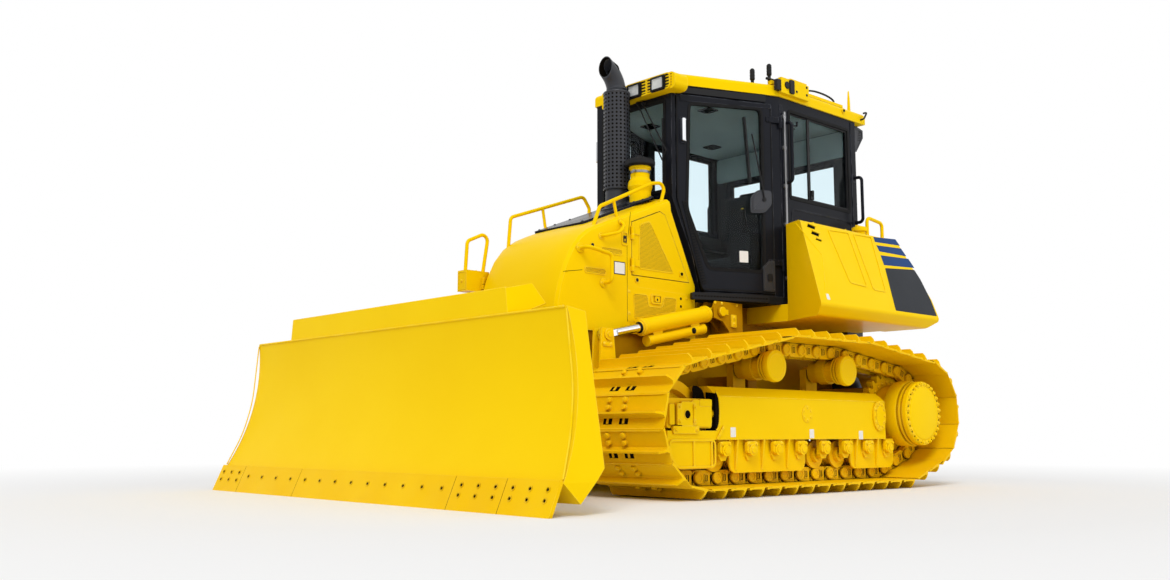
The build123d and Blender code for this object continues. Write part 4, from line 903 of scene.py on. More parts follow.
def buildRollerHubs(bm):
    # a collar, two bolts and a round boss at the end of each roller's axle
    s = frameTrim
    for i in range(8):
        y = s["firstRoller"] + s["rollerPitch"] * i
        m = sideFace(s["hubFace"], y, s["hubZ"])
        addPlate(bm, rounded(-0.056, 0.056, -0.022, 0.06, 0.018), 0.026, m)
        addPlate(bm, ringOf(0, 0, 0.04), 0.034, m)
        addPlate(bm, ringOf(0, 0, 0.022), 0.04, m)
        addBolts(bm, grid((-0.04, 0.04), (0.042,)), sideFace(s["hubFace"] + 0.026, y, s["hubZ"]), 0.0105,
                0.01)


def buildYoke(bm):
    # the recoil yoke: its housing, the bolted block with the grease hole, straps, and dark plates of painted
    # shade in the hole and the bay behind
    m = sideFace(1.275)
    addPads(bm, m, 0, [
        (0.098, 0.302, 0.466, 0.642, 0.03, 0.01), (0.18, 0.3, 0.6, 0.648, 0.01, 0.014),
        (-0.01, 0.128, 0.47, 0.628, 0.01, 0.022), (-0.118, -0.07, 0.478, 0.612, 0.01, 0.016),
    ])
    for y0, y1 in ((-0.058, -0.016), (0.102, 0.124)):
        addPlate(bm, rounded(y0, y1, 0.476, 0.616, 0.006), 0.03, m)
    addPlate(bm, rounded(-0.09, 0.16, 0.42, 0.47, 0.01), 0.024, m)
    hole = sideFace(1.297)
    addFrame(bm, ringOf(0.045, 0.545, 0.033), 0.006, 0.004, hole)
    addPlate(bm, ringOf(0.045, 0.545, 0.027), 0.002, hole, 1)
    addBolts(bm, ((-0.037, 0.594), (0.113, 0.594), (-0.037, 0.5), (0.113, 0.5)), sideFace(1.305), 0.0105,
            0.01)
    addBolts(bm, grid((-0.065, 0.135), (0.445,)), sideFace(1.299), 0.012, 0.01)
    # the bay behind is a flat dark plate: painted shade
    bay = sideFace(1.194)
    mouth = [(0.22, 0.448), (0.298, 0.452), (0.33, 0.5), (0.337, 0.6), (0.33, 0.672), (0.302, 0.722), (0.245,
            0.742), (0.208, 0.738)]
    addPlate(bm, softened(mouth, 0.02), 0.0, bay, 1, back=0.006)


drive = {"centre": (2.76, 0.585), "bolts": 28, "boltCircle": 0.236, "coverFace": 1.424}


def buildDrive(bm):
    # the final drive's stepped drum, its flat cover with a rim of bolts, and the sprocket's bolts
    s = drive
    y, z = s["centre"]
    drum = sideFace(0, y, z) @ spin(90)
    profile = [(0.23, 1.212), (0.262, 1.214), (0.266, 1.222), (0.266, 1.318), (0.262, 1.326), (0.238, 1.328),
            (0.238, 1.346),
               (0.258, 1.348), (0.258, 1.362), (0.24, 1.364), (0.24, 1.38), (0.257, 1.382), (0.257,
                       1.414), (0.25, 1.422),
               (0.214, 1.424), (0.21, 1.428), (0.2, 1.43)]
    addLathe(bm, profile, drum, 0, 72)
    face = sideFace(s["coverFace"])
    for i in range(s["bolts"]):
        a = 2 * math.pi * (i + 0.5) / s["bolts"]
        addBolt(bm, (y + s["boltCircle"] * math.cos(a), z + s["boltCircle"] * math.sin(a)), face, 0.0115,
                0.014)
        addPlate(bm, ringOf(y + s["boltCircle"] * math.cos(a + 0.112),
                z + s["boltCircle"] * math.sin(a + 0.112), 0.0065, 8), 0.0006, face, 1)
    addBolts(bm, ringOf(y, z, 0.262, 25, 0.5), sideFace(1.098), 0.01, 0.01, 0, False)


def buildCarrierTrim(bm):
    for y in (1.03, 1.93):
        drum = sideFace(0, y, 0.905) @ spin(90)
        addLathe(bm, [(0.08, 1.176), (0.104, 1.178), (0.104, 1.19), (0.09, 1.194), (0.09, 1.202), (0.108,
                1.206), (0.108, 1.22),
                      (0.098, 1.224), (0.098, 1.23), (0.115, 1.234), (0.118, 1.24), (0.118, 1.268), (0.112,
                              1.278), (0.086, 1.282),
                      (0.083, 1.279), (0.03, 1.279)], drum, 0, 40)
        addBox(bm, (0.86, y - 0.095, 0.738), (0.955, y + 0.095, 0.756), at())
        for dy in (-0.075, 0.075):
            head = at((0.905, y + dy, 0.756), (1, 0, 0), (0, 1, 0))
            addBolt(bm, (0, 0), head, 0.012, 0.01)


for side, links in zip(("left", "right"), makePair("chainLinks", buildLinks, ["yellowCast", "darkGapAndPaintedShade"])):
    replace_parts(links, "track_" + side)
makePair("trackShoes", buildShoes, ["yellowCast"])
makePair("shoeTrim", buildShoeTrim, ["yellowCast", "darkGapAndPaintedShade"])
makePair("rollerHubs", buildRollerHubs, ["yellowPaint"], 0.002)
makePair("trackFrameTrim", buildFrameTrim, ["yellowPaint", "labelWhite", "darkGapAndPaintedShade"], 0.0015)
makePair("recoilYoke", buildYoke, ["yellowPaint", "darkGapAndPaintedShade"], 0.003)
makePair("finalDriveTrim", buildDrive, ["yellowPaint", "darkGapAndPaintedShade"])
makePair("carrierTrim", buildCarrierTrim, ["yellowPaint"], 0.002)
print("running gear dressed")


# blade and push frame
bladeTrim = {
    "joints": (-1.93, -1.546, -0.711, 1.051, 1.509, 1.93),
    "edgeLow": (-1.7, 0.0), "edgeHigh": (-1.622, 0.184), "bolt": 0.017, "boltsPerSpan": (3, 4, 9, 3, 3),
}


def buildEdgeBolts(bm):
    # countersunk bolts in two rows on each section of the cutting edge, each with a dark plate of painted
    # shade in its socket
    s = bladeTrim
    (y0, z0), (y1, z1) = s["edgeLow"], s["edgeHigh"]
    up = (0, y1 - y0, z1 - z0)
    m = at((0, y0 - 0.0005, z0), (1, 0, 0), up)
    reach = math.hypot(y1 - y0, z1 - z0)
    for low, high, count in zip(s["joints"], s["joints"][1:], s["boltsPerSpan"]):
        for i in range(count):
            x = low + (high - low) * (i + 0.5) / count
            rows = (0.45, 0.75) if count == 3 and high - low < 0.5 else (0.62,)
            for row in rows:
                ring = ringOf(x, reach * row, s["bolt"], 14)
                addFrame(bm, ring, 0.004, 0.0025, m)
                addPlate(bm, [((px - x) * 0.5 + x, (pz - reach * row) * 0.5 + reach * row) for px,
                        pz in ring[::2]], 0.001, m, 1)


def buildBladeTrim(bm):
    # weld beads on the mouldboard, and the seams, eye plates and bolts of its back frame
    addTube(bm, [(-1.76, -1.4445, 1.0985), (1.76, -1.4445, 1.0985)], 0.006, None, 0, 0, 8)
    for side in (-1, 1):
        addTube(bm, [(side * 1.924, -1.597, 0.19), (side * 1.874, -1.5, 0.42), (side * 1.838, -1.45, 0.66),
                (side * 1.776, -1.444, 1.085)],
                0.0045, None, 0.1, 0, 8)
    for x in (-1.25, -0.55, 0.55, 1.25):
        for z in (0.36, 0.94):
            m = at((x, -1.24, z), (-1, 0, 0))
            addBolts(bm, grid((-0.05, 0.05), (0,)), m, 0.014, 0.012)
    back = rearFace(-1.24)
    for z in (0.3, 0.42, 0.88, 1.00):
        addPlate(bm, square(-1.49, 1.49, z - 0.004, z + 0.004), 0.004, back)
    for side in (-1, 1):
        eye = at((side * 0.545, -1.24, 0.72), (-1, 0, 0))
        addPlate(bm, rounded(-0.085, 0.085, -0.085, 0.085, 0.03), 0.012, eye)
        addBolts(bm, grid((-0.06, 0.06), (-0.06, 0.06)), at((side * 0.545, -1.252, 0.72), (-1, 0, 0)), 0.011,
                0.01)


def buildGuardTrim(bm):
    # the spill guard's rounded top lip and its struts behind
    for x in (-1.1, -0.55, 0, 0.55, 1.1):
        side = at((x - 0.006, 0, 0), (0, -1, 0))
        outline = [(1.431, 1.098), (1.431, 1.225), (1.38, 1.12), (1.34, 1.085)]
        addPlate(bm, outline, 0.012, side)
    addTube(bm, [(-1.25, -1.437, 1.248), (1.25, -1.437, 1.248)], 0.007, None, 0, 0, 8)


def buildLiftGlands(bm):
    # the gland and wiper ring at the barrel's mouth, the rear band, the port rings and a plug
    pin, base = Vector((0.572, -0.012, 1.111)), Vector((0.572, 1.188, 1.36))
    run = (pin - base).normalized()
    mouth = base + run * 0.845
    frameHere = at(mouth, run) @ spin(90, "Y")
    addLathe(bm, [(0.0335, -0.03), (0.063, -0.03), (0.0655, -0.024), (0.0655, 0.006), (0.06, 0.012), (0.05,
            0.012),
                  (0.047, 0.02), (0.0335, 0.02)], frameHere, 0, 36)
    addLathe(bm, [(0.034, 0.019), (0.043, 0.019), (0.041, 0.026), (0.034, 0.026)], frameHere, 1, 28)
    rear = base + run * 0.125
    back = at(rear, run) @ spin(90, "Y")
    addLathe(bm, [(0.0595, -0.014), (0.066, -0.01), (0.066, 0.014), (0.0595, 0.018)], back, 0, 32)
    for along in (0.19, 0.79):
        drop = Vector((0, -run.z, run.y)) * 0.106
        spot = base + run * along + (drop if drop.z < 0 else -drop)
        cap = at(spot, run) @ spin(90, "Y")
        addLathe(bm, [(0.02, -0.022), (0.0415, -0.02), (0.0425, -0.006), (0.0425, 0.006), (0.0415, 0.02),
                (0.02, 0.022)], cap, 0, 28)
    port = base + run * 0.3 + Vector((0.04, 0, -0.105))
    m = at(port, -run)
    addBolt(bm, (0, 0), m, 0.016, 0.012, 1)


def buildRodEye(bm):
    m = sideFace(0.596, -0.012, 1.111)
    outline = ringOf(0, 0, 0.04, 24)
    addFrame(bm, outline, 0.006, 0.002, m)


def buildPushFrame(bm):
    # the pin's keeper on the lift lug, and the trunnion's bolted ring
    lug = sideFace(0.617, -0.012, 1.111)
    disc = ringOf(0, 0, 0.04, 24)
    addPlate(bm, disc, 0.012, lug)
    addPlate(bm, [(x * 0.5, z * 0.5) for x, z in disc], 0.02, lug)
    addPlate(bm, square(-0.055, 0.03, -0.085, -0.055), 0.008, lug)
    addBolts(bm, grid((-0.045, 0.02), (-0.07,)), sideFace(0.625, -0.012, 1.111), 0.009, 0.008)
    trunnion = sideFace(0.62, 1.55, 0.5)
    ring = ringOf(0, 0, 0.088, 28)
    addFrame(bm, ring, 0.028, 0.006, trunnion)
    addBolts(bm, ringOf(0, 0, 0.074, 6), sideFace(0.626, 1.55, 0.5), 0.008, 0.007)


def buildLiftBracket(bm):
    # the rear pin's keeper plate and its bolts, and the small bolted pad behind it
    m = sideFace(0.645, 1.188, 1.36)
    disc = ringOf(0, 0, 0.036, 24)
    addPlate(bm, disc, 0.012, m)
    addPlate(bm, square(0.05, 0.085, -0.02, 0.02), 0.004, sideFace(0.633, 1.188, 1.36))
    face = sideFace(0.633)
    addPlate(bm, rounded(1.3, 1.36, 1.245, 1.345, 0.008), 0.014, face)
    for z in (1.27, 1.32):
        addBolt(bm, (1.33, z), sideFace(0.647), 0.011, 0.01)
    addBolts(bm, ((1.12, 1.425), (1.2, 1.425), (1.38, 1.425)), face, 0.009, 0.008)


def buildAngleGlands(bm):
    toe = math.radians(1.2)
    base = Vector((0.52, 0.1, 0.72))
    run = Vector((math.sin(toe), -math.cos(toe), 0))
    mouth = at(base + run * 0.98, run) @ spin(90, "Y")
    addLathe(bm, [(0.0235, -0.03), (0.046, -0.03), (0.048, -0.022), (0.048, 0.006), (0.04, 0.012), (0.0235,
            0.014)], mouth, 0, 30)


makeOne("edgeBolts", buildEdgeBolts, ["yellowCast", "darkGapAndPaintedShade"], body="blade")
makeOne("bladeTrim", buildBladeTrim, ["yellowPaint"], body="blade")
makeOne("guardTrim", buildGuardTrim, ["yellowPaint"], 0.0015, body="blade")
makePair("liftGland", buildLiftGlands, ["yellowPaint", "blackRubber"], body="lift_barrel_{}")
makePair("rodEyeRing", buildRodEye, ["yellowPaint"], body="lift_rod_{}")
makePair("pushFrameTrim", buildPushFrame, ["yellowPaint"], 0.0015, body="push_frame")
makePair("liftBracketTrim", buildLiftBracket, ["yellowPaint"], 0.0015)
makePair("angleGland", buildAngleGlands, ["yellowPaint"], body="angle_barrel_{}")
print("blade dressed")


# hood
hoodFace = {"side": 0.46, "door": 0.462}


def addSlot(bm, m, x0, x1, z0, z1, rim=0, dark=1):
    # a pressed slot: a raised rim round an opening, whose inside is a flat plate in the given dark or mesh
    # finish, painted shade
    outline = rounded(x0, x1, z0, z1, min(x1 - x0, z1 - z0) * 0.42)
    addFrame(bm, outline, min(x1 - x0, z1 - z0) * 0.18, 0.004, m, rim)
    addPlate(bm, drawnIn(outline, min(x1 - x0, z1 - z0) * 0.15), 0.0008, m, dark)


def addSeam(bm, points, m, slot=1, width=0.0035):
    # a panel gap drawn as a thin dark line along local (x, z) points
    for (x0, z0), (x1, z1) in zip(points, points[1:]):
        run = Vector((x1 - x0, z1 - z0)).normalized()
        side = Vector((-run.y, run.x)) * width / 2
        outline = [(x0 - side.x, z0 - side.y), (x1 - side.x, z1 - side.y), (x1 + side.x, z1 + side.y),
                (x0 + side.x, z0 + side.y)]
        addPlate(bm, outline, 0.0006, m, slot)


def buildHoodSide(bm):
    # slots 0 paint, 1 dark, 2 mesh, 3 label, 4 black trim
    m = sideFace(hoodFace["side"])
    panel = softened([(0.335, 1.236), (1.066, 1.29), (1.066, 1.49), (0.335, 1.506)], 0.02)
    addPlate(bm, panel, 0.0025, m)
    front = sideFace(hoodFace["side"] + 0.0025)
    vent = softened([(0.406, 1.262), (0.857, 1.345), (0.868, 1.452), (0.724, 1.452), (0.704, 1.372), (0.562,
            1.366), (0.546, 1.452),
                     (0.392, 1.452)], 0.02)
    addPlate(bm, vent, 0.001, front, 2)
    addFrame(bm, vent, 0.006, 0.003, front)
    latch = rounded(0.578, 0.694, 1.388, 1.462, 0.018)
    addFrame(bm, latch, 0.012, 0.01, front)
    addPlate(bm, rounded(0.618, 0.668, 1.404, 1.446, 0.01), 0.012, front)
    addPlate(bm, rounded(0.634, 0.648, 1.412, 1.43, 0.005), 0.0128, front, 1)
    for z in (1.393, 1.453):
        addPlate(bm, ringOf(0.915, z, 0.011, 16), 0.0012, front, 1)
    addBolts(bm, grid((0.352, 0.98), (1.3, 1.46)), front, 0.008, 0.006)
    addSlot(bm, m, 0.064, 0.286, 1.718, 1.768, 0, 2)
    addSlot(bm, m, -0.098, 0.118, 1.556, 1.606, 0, 2)
    addSeam(bm, [(0.334, 1.236), (0.334, 1.798), (0.372, 2.06)], m)
    addSeam(bm, [(-0.3, 1.545), (-0.115, 1.575)], m)
    addFrame(bm, rounded(0.277, 0.338, 1.8, 1.902, 0.01), 0.01, 0.006, m)
    addPlate(bm, rounded(0.296, 0.326, 1.822, 1.872, 0.004), 0.004, m, 4)
    addPlate(bm, rounded(0.303, 0.313, 1.828, 1.848, 0.003), 0.006, m)
    for x, z in ((-0.022, 1.764), (0.433, 1.553)):
        addPlate(bm, ringOf(x, z, 0.021), 0.006, m)
        addPlate(bm, ringOf(x, z, 0.013), 0.009, m, 4)
    addFrame(bm, rounded(0.197, 0.313, 1.577, 1.673, 0.006, 2), 0.006, 0.0022, m, 4)
    addPlate(bm, rounded(0.199, 0.311, 1.579, 1.671, 0.005, 2), 0.0018, m, 3)
    side = hoodFace["side"]
    addTube(bm, [(side, 0.066, 1.842), (side + 0.04, 0.07, 1.842), (side + 0.042, 0.222, 1.884), (side + 0.04,
            0.272, 1.94), (side, 0.268, 1.975)],
            0.0115, None, 0.03, 0, 12)
    for y, z in ((0.066, 1.842), (0.268, 1.975)):
        addPlate(bm, ringOf(y, z, 0.024), 0.006, m)


def buildHandleFeet(bm):
    # round feet, with bolts, where the side loop meets the hood
    for y, z in ((-0.14, 1.73), (0.09, 1.5)):
        addLathe(bm, [(0.036, 0.0), (0.036, 0.007), (0.03, 0.01), (0.017, 0.012), (0.014, 0.02)],
                 sideFace(hoodFace["side"], y, z) @ spin(90), 0, 24)
        for dy in (-0.025, 0.025):
            addBolt(bm, (y + dy, z), sideFace(hoodFace["side"] + 0.008), 0.006, 0.006, 0, False)


def buildHoodFront(bm):
    # bolted panels on the nose and the frame's front, with two tow loops
    m = frontFace(-0.385)
    addPlate(bm, rounded(-0.36, 0.36, 1.165, 1.3, 0.02), 0.004, m)
    addBolts(bm, grid((-0.33, 0, 0.33), (1.185, 1.28)), frontFace(-0.389), 0.009, 0.007)
    frameFront = frontFace(-0.3)
    addPlate(bm, rounded(-0.4, 0.4, 0.6, 1.1, 0.03), 0.012, frameFront)
    addBolts(bm, grid((-0.36, -0.12, 0.12, 0.36), (0.64, 1.06)), frontFace(-0.312), 0.014, 0.012)
    for x in (-0.2, 0.2):
        addTube(bm, [(x - 0.05, -0.312, 0.8), (x - 0.05, -0.375, 0.8), (x + 0.05, -0.375, 0.8), (x + 0.05,
                -0.312, 0.8)], 0.012, None, 0.03, 0, 10)


def buildEngineDoor(bm):
    # slots 0 paint, 1 dark, 2 mesh
    m = sideFace(hoodFace["door"])
    window = softened([(0.452, 1.64), (0.842, 1.64), (0.576, 2.022), (0.462, 1.978)], 0.03)
    addPlate(bm, window, 0.001, m, 2)
    addFrame(bm, window, 0.008, 0.0035, m)
    addPlate(bm, rounded(0.9, 0.945, 1.625, 1.665, 0.01), 0.006, m)
    addPlate(bm, rounded(0.91, 0.935, 1.633, 1.657, 0.008), 0.01, m, 1)
    inner = at((0.43, 0, 0), (0, -1, 0), (0, 0, 1))
    addFrame(bm, [(-x, z) for x, z in reversed(softened([(0.42, 1.61), (0.94, 1.61), (0.72, 2.05), (0.66,
            2.06), (0.42, 1.96)], 0.02))],
             0.02, 0.01, inner, 0)


def buildHoodTop(bm):
    # pipe flanges and the bolts of the dark top panel, on the slope
    slope = math.atan2(0.299, 0.76)
    run = (0, math.cos(slope), math.sin(slope))
    up = Vector((0, -math.sin(slope), math.cos(slope)))
    for x, y, r in ((0.02, 0.665, 0.125), (0.252, 0.69, 0.108)):
        z = 1.951 + (y - 0.04) * 0.3934 + 0.0152
        m = at((x, y, z), (1, 0, 0), run) @ spin(90)
        addLathe(bm, [(r, 0.0), (r, 0.01), (r - 0.01, 0.014), (r - 0.026, 0.014), (r - 0.03, 0.024),
                (r - 0.036, 0.024)], m, 0, 36)
        for k in range(8):
            a = 2 * math.pi * k / 8 + 0.2
            head = m @ Matrix.Translation((r * 0.88 * math.cos(a), r * 0.88 * math.sin(a), 0.012)) @ spin(-90)
            addBolt(bm, (0, 0), head, 0.007, 0.006)
    for x in (-0.245, 0.245):
        for t in (0.05, 0.22, 0.39):
            spot = Vector((x, 0.04 + t * math.cos(slope), 1.951 + t * math.sin(slope))) + up * 0.0142
            m = at(spot, (1, 0, 0), run)
            addBolt(bm, (0, 0), m, 0.008, 0.006)


exhaustTrim = {"centre": (0.02, 0.665), "radius": 0.107, "columns": 20, "rows": 25, "low": 2.362,
        "pitch": 0.0312, "hole": 0.0082,
               "base": 0.092, "baseLow": 2.12, "shieldLow": 2.336, "shieldTop": 3.14, "pipe": 0.077,
               "mouth": (0.539, 3.33), "corner": 3.262}


def buildExhaust(bm):
    # base pipe, heat shield with rolled rims, and the bent tail pipe with its open mouth;
    # slots 0 paint, 1 dark for the painted shade inside the mouth
    s = exhaustTrim
    x, y = s["centre"]
    m = at((x, y, 0))
    addLathe(bm, [(s["base"], s["baseLow"]), (s["base"], s["shieldLow"] + 0.01)], m, 0, 48)
    r, low, top = s["radius"] - 0.001, s["shieldLow"], s["shieldTop"]
    addLathe(bm, [(r - 0.03, low + 0.002), (r + 0.001, low), (r + 0.004, low + 0.004), (r + 0.004,
            low + 0.012), (r, low + 0.016),
                  (r, top - 0.016), (r + 0.004, top - 0.012), (r + 0.004, top - 0.004), (r + 0.001,
                          top), (r - 0.034, top + 0.004)], m, 0, 64)
    my, mz = s["mouth"]
    start, corner, end = Vector((x, y, top - 0.02)), Vector((x, y, s["corner"])), Vector((x, my, mz))
    rings = []
    for k in range(14):
        t = k / 13
        p = start * (1 - t) ** 2 + corner * 2 * t * (1 - t) + end * t ** 2
        run = ((corner - start) * (1 - t) + (end - corner) * t).normalized()
        other = Vector((1, 0, 0)).cross(run)
        ring = [p + (Vector((1, 0, 0)) * math.cos(a) + other * math.sin(a)) * s["pipe"] for a in turns(40)]
        if k == 13:
            ring = [q + run * ((my - q.y) / run.y) for q in ring]
        if k < 11 or k == 13:
            rings.append(ring)
    lip = [end + (q - end) * 0.93 for q in rings[-1]]
    inside = [q + Vector((0, 0.09, -0.035)) for q in lip]
    skin = [addRing(bm, ring, at()) for ring in rings + [lip]]
    addSkin(bm, skin, 0, caps=False)
    deep = addRing(bm, inside, at())
    addSkin(bm, [skin[-1], deep], 1, caps=False)
    bm.faces.new(deep).material_index = 1
    addLathe(bm, [(0.0765, top + 0.02), (0.083, top + 0.022), (0.083, top + 0.04), (0.0765, top + 0.042)], m,
            0, 40)


def buildExhaustHoles(bm):
    # rows of round holes in the heat shield, drawn as dark discs of painted shade
    s = exhaustTrim
    x, y = s["centre"]
    for row in range(s["rows"]):
        for column in range(s["columns"]):
            a = 2 * math.pi * (column + 0.5) / s["columns"]
            spot = (x + s["radius"] * math.cos(a), y + s["radius"] * math.sin(a), s["low"] + row * s["pitch"])
            m = at(spot, (-math.sin(a), math.cos(a), 0))
            addPlate(bm, ringOf(0, 0, s["hole"], 10), 0.0004, m, 0, back=-0.003)


def buildCleanerTrim(bm):
    # the ribbed rim of the air cleaner's cap, its wing nut and the clamp on its neck
    m = at((0.252, 0.69, 0))
    rings = [(0.1165, 2.503), (0.1195, 2.506), (0.1195, 2.533), (0.1165, 2.535)]
    addLathe(bm, rings, m, 0, 96, 0.0028)
    addLathe(bm, [(0.04, 2.56), (0.04, 2.568), (0.022, 2.572), (0.012, 2.586)], m, 0, 20)
    addLathe(bm, [(0.0755, 2.436), (0.08, 2.437), (0.08, 2.455), (0.0755, 2.456)], m, 1, 40)
    addBox(bm, (0.076, -0.01, 2.438), (0.1, 0.01, 2.454), m @ spin(-75, "Z"), 1)


def buildNoseBox(bm):
    # the lid, hinge and side panel of the box on the right of the nose
    m = at((-0.6, 0, 0), (0, -1, 0))
    addFrame(bm, rounded(0.235, 0.41, 1.505, 1.635, 0.012), 0.008, 0.003, m)
    front = frontFace(-0.43)
    addFrame(bm, rounded(-0.592, -0.498, 1.5, 1.64, 0.01), 0.007, 0.003, front)
    addBolt(bm, (-0.545, 1.57), front, 0.01, 0.01)
    top = at((-0.545, -0.32, 1.65), (1, 0, 0), (0, 1, 0))
    addBolts(bm, grid((-0.03, 0.03), (0.0,)), top, 0.008, 0.006)


makePair("hoodSide", buildHoodSide, ["yellowPaint", "darkGapAndPaintedShade", "yellowMesh", "labelWhite", "blackPlastic"],
        0.0012)
makeOne("handleFeet", buildHandleFeet, ["yellowPaint"], 0.001)
makeOne("hoodFront", buildHoodFront, ["yellowPaint"], 0.002)
makePair("engineDoorTrim", buildEngineDoor, ["yellowPaint", "darkGapAndPaintedShade", "yellowMesh"], 0.001,
        body="engine_door_{}")
makeOne("hoodTopTrim", buildHoodTop, ["charcoalPaint"])
makeOne("exhaustHoles", buildExhaustHoles, ["darkGapAndPaintedShade"])
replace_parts(makeOne("exhaustPipe", buildExhaust, ["charcoalPaint", "darkGapAndPaintedShade"]), "exhaust_stack")
makeOne("cleanerTrim", buildCleanerTrim, ["blackPlastic", "boltSteel"])
makeOne("noseBoxTrim", buildNoseBox, ["yellowPaint"], 0.001)
print("hood dressed")


# cab outside
cabTrim = {
    "half": 0.8, "frontY": 0.87, "rearY": 2.86, "hingeY": 1.76, "doorAlong": (0.3883, 0.9215,
            0), "doorOut": 0.012,
    "frontGlass": (-0.355, 0.355, 2.315, 3.055), "rearGlass": (-0.6, 0.6, 2.305, 2.815), "sideGlass": (1.89,
            2.75, 2.335, 3.075),
    "doorGlass": [(0.165, 1.7), (0.668, 1.7), (0.848, 2.17), (0.818, 3.025), (0.165, 3.045)],
    "doorEdge": [(0.076, 1.526), (0.708, 1.526), (0.928, 2.255), (0.928, 3.089), (0.076,
            3.089)], "doorDepth": 0.062,
    "gasket": 0.018, "gasketDepth": 0.024,
}


def doorFace(out=0.0):
    # the left door's plane; local x is minus the distance from the hinge line
    s = cabTrim
    ax, ay = s["doorAlong"][:2]
    d = s["doorOut"] + out
    return at((s["half"] + d * ay, s["hingeY"] - d * ax, 0), s["doorAlong"])


def overDoor(points):
    return [(-w, z) for w, z in points]


def buildCabSeals(bm):
    # rubber round the fixed windows
    s = cabTrim
    faces = [(frontFace(s["frontY"]), s["frontGlass"]), (rearFace(s["rearY"]), s["rearGlass"]),
             (sideFace(s["half"]), s["sideGlass"]), (at((-s["half"], 0, 0), (0, -1, 0)), s["sideGlass"])]
    for i, (m, (x0, x1, z0, z1)) in enumerate(faces):
        if i == 3:
            x0, x1 = -x1, -x0
        outline = rounded(x0 - 0.01, x1 + 0.01, z0 - 0.01, z1 + 0.01, 0.03)
        addFrame(bm, outline, s["gasket"] + 0.008, 0.0045, m, 0, back=-s["gasketDepth"])


def buildSlidingPanes(bm):
    # frames of the two sliding panes and their latch
    s = cabTrim
    y0, y1, z0, z1 = s["sideGlass"]
    m = sideFace(s["half"] - 0.019)
    middle = 2.172
    for a, b, out in ((y0 + 0.004, middle + 0.02, 0.004), (middle - 0.02, y1 - 0.004, 0.01)):
        addFrame(bm, rounded(a, b, z0 + 0.004, z1 - 0.004, 0.03), 0.026, out + 0.004, m)
    addPads(bm, m, 0, [
        (middle + 0.002, middle + 0.046, z0 + 0.03, z0 + 0.085, 0.008, 0.022),
        (middle + 0.012, middle + 0.036, z0 + 0.06, z0 + 0.11, 0.008, 0.03),
    ])


def buildPillars(bm):
    # bolts, seams, the hinge post and brackets on the cab's side; slots 0 cab paint, 2 steel
    s = cabTrim
    m = sideFace(s["half"])
    for z in (1.62, 1.86, 2.1, 2.46, 2.72, 2.98):
        addBolt(bm, (1.842, z), m, 0.01, 0.007)
    addBolts(bm, ((2.05, 1.6), (2.35, 1.6), (2.65, 1.6), (2.8, 1.7), (2.8, 1.95)), m, 0.009, 0.006)
    addFrame(bm, rounded(1.9, 2.76, 1.56, 2.255, 0.04), 0.012, 0.004, m)
    addPlate(bm, square(1.765, 1.8, 1.505, 3.1), 0.006, m)
    addPlate(bm, square(2.785, 2.845, 1.52, 3.15), 0.005, m)
    addTube(bm, [(s["half"] + 0.022, 1.806, 1.6), (s["half"] + 0.022, 1.806, 3.04)], 0.01, None, 0, 2, 8)
    for z in (1.66, 2.1, 2.42, 2.74, 3.00):
        addPlate(bm, rounded(1.788, 1.824, z - 0.016, z + 0.016, 0.006, 2), 0.024, m, 2)
    bracket = sideFace(s["half"] + 0.058)
    addPlate(bm, softened([(1.762, 1.705), (1.885, 1.7), (1.868, 1.95), (1.845, 1.955)], 0.015, 2), 0.006,
            bracket)
    addBolts(bm, ((1.79, 1.725), (1.862, 1.725), (1.858, 1.93)), sideFace(s["half"] + 0.064), 0.008, 0.007)
    web = frontFace(1.862)
    addPlate(bm, square(0.799, 0.86, 1.7, 1.95), 0.005, web)
    for y0, z0, y1, z1 in ((1.82, 2.45, 1.82, 2.95), (2.82, 2.25, 2.82, 2.65)):
        for y, z in ((y0, z0), (y1, z1)):
            addPlate(bm, rounded(y - 0.026, y + 0.026, z - 0.034, z + 0.034, 0.012), 0.008, m)
            for dz in (-0.022, 0.022):
                addBolt(bm, (y, z + dz), sideFace(s["half"] + 0.008), 0.006, 0.005, 0, False)


def buildSill(bm):
    # the step below the door with its row of small slots as dark plates of painted shade, and the black
    # header over it
    m = doorFace(-0.012)
    sill = softened(square(-0.822, -0.146, 1.452, 1.508), 0.01, 2)
    addPlate(bm, sill, 0.04, m)
    face = doorFace(0.028)
    for i in range(24):
        x = -0.8 + i * 0.027
        addPlate(bm, rounded(x, x + 0.015, 1.474, 1.486, 0.004, 2), 0.0008, face, 1)
    head = softened([(-0.895, 3.1), (-0.13, 3.1), (-0.13, 3.16), (-0.895, 3.145)], 0.01, 2)
    addPlate(bm, head, 0.02, m)


def buildDoor(bm):
    # the door's frame round its window, with the straps and tubes of its two hinges
    s = cabTrim
    m = doorFace()
    outer, inner = [softened(list(reversed(overDoor(s[key]))), r) for key, r in (("doorEdge", 0.012),
            ("doorGlass", 0.05))]
    rings = []
    for points, depth in ((outer, -s["doorDepth"]), (outer, 0.0), (inner, 0.0), (inner, -s["doorDepth"])):
        rings.append(addRing(bm, [(x, -depth, z) for x, z in points], m))
    addSkin(bm, rings + [rings[0]], 0, caps=False)
    for z in (1.78, 2.96):
        addPlate(bm, rounded(-0.13, 0.0, z - 0.025, z + 0.025, 0.01), 0.008, m)
        addLathe(bm, [(0.014, -0.03), (0.014, 0.03)], m @ Matrix.Translation((0, -0.004, z)), 0, 20)


def buildDoorPane(bm):
    pane = drawnIn(softened(list(reversed(overDoor(cabTrim["doorGlass"]))), 0.05), 0.0005)
    addPlate(bm, pane, -0.026, doorFace(), 0, back=-0.032)


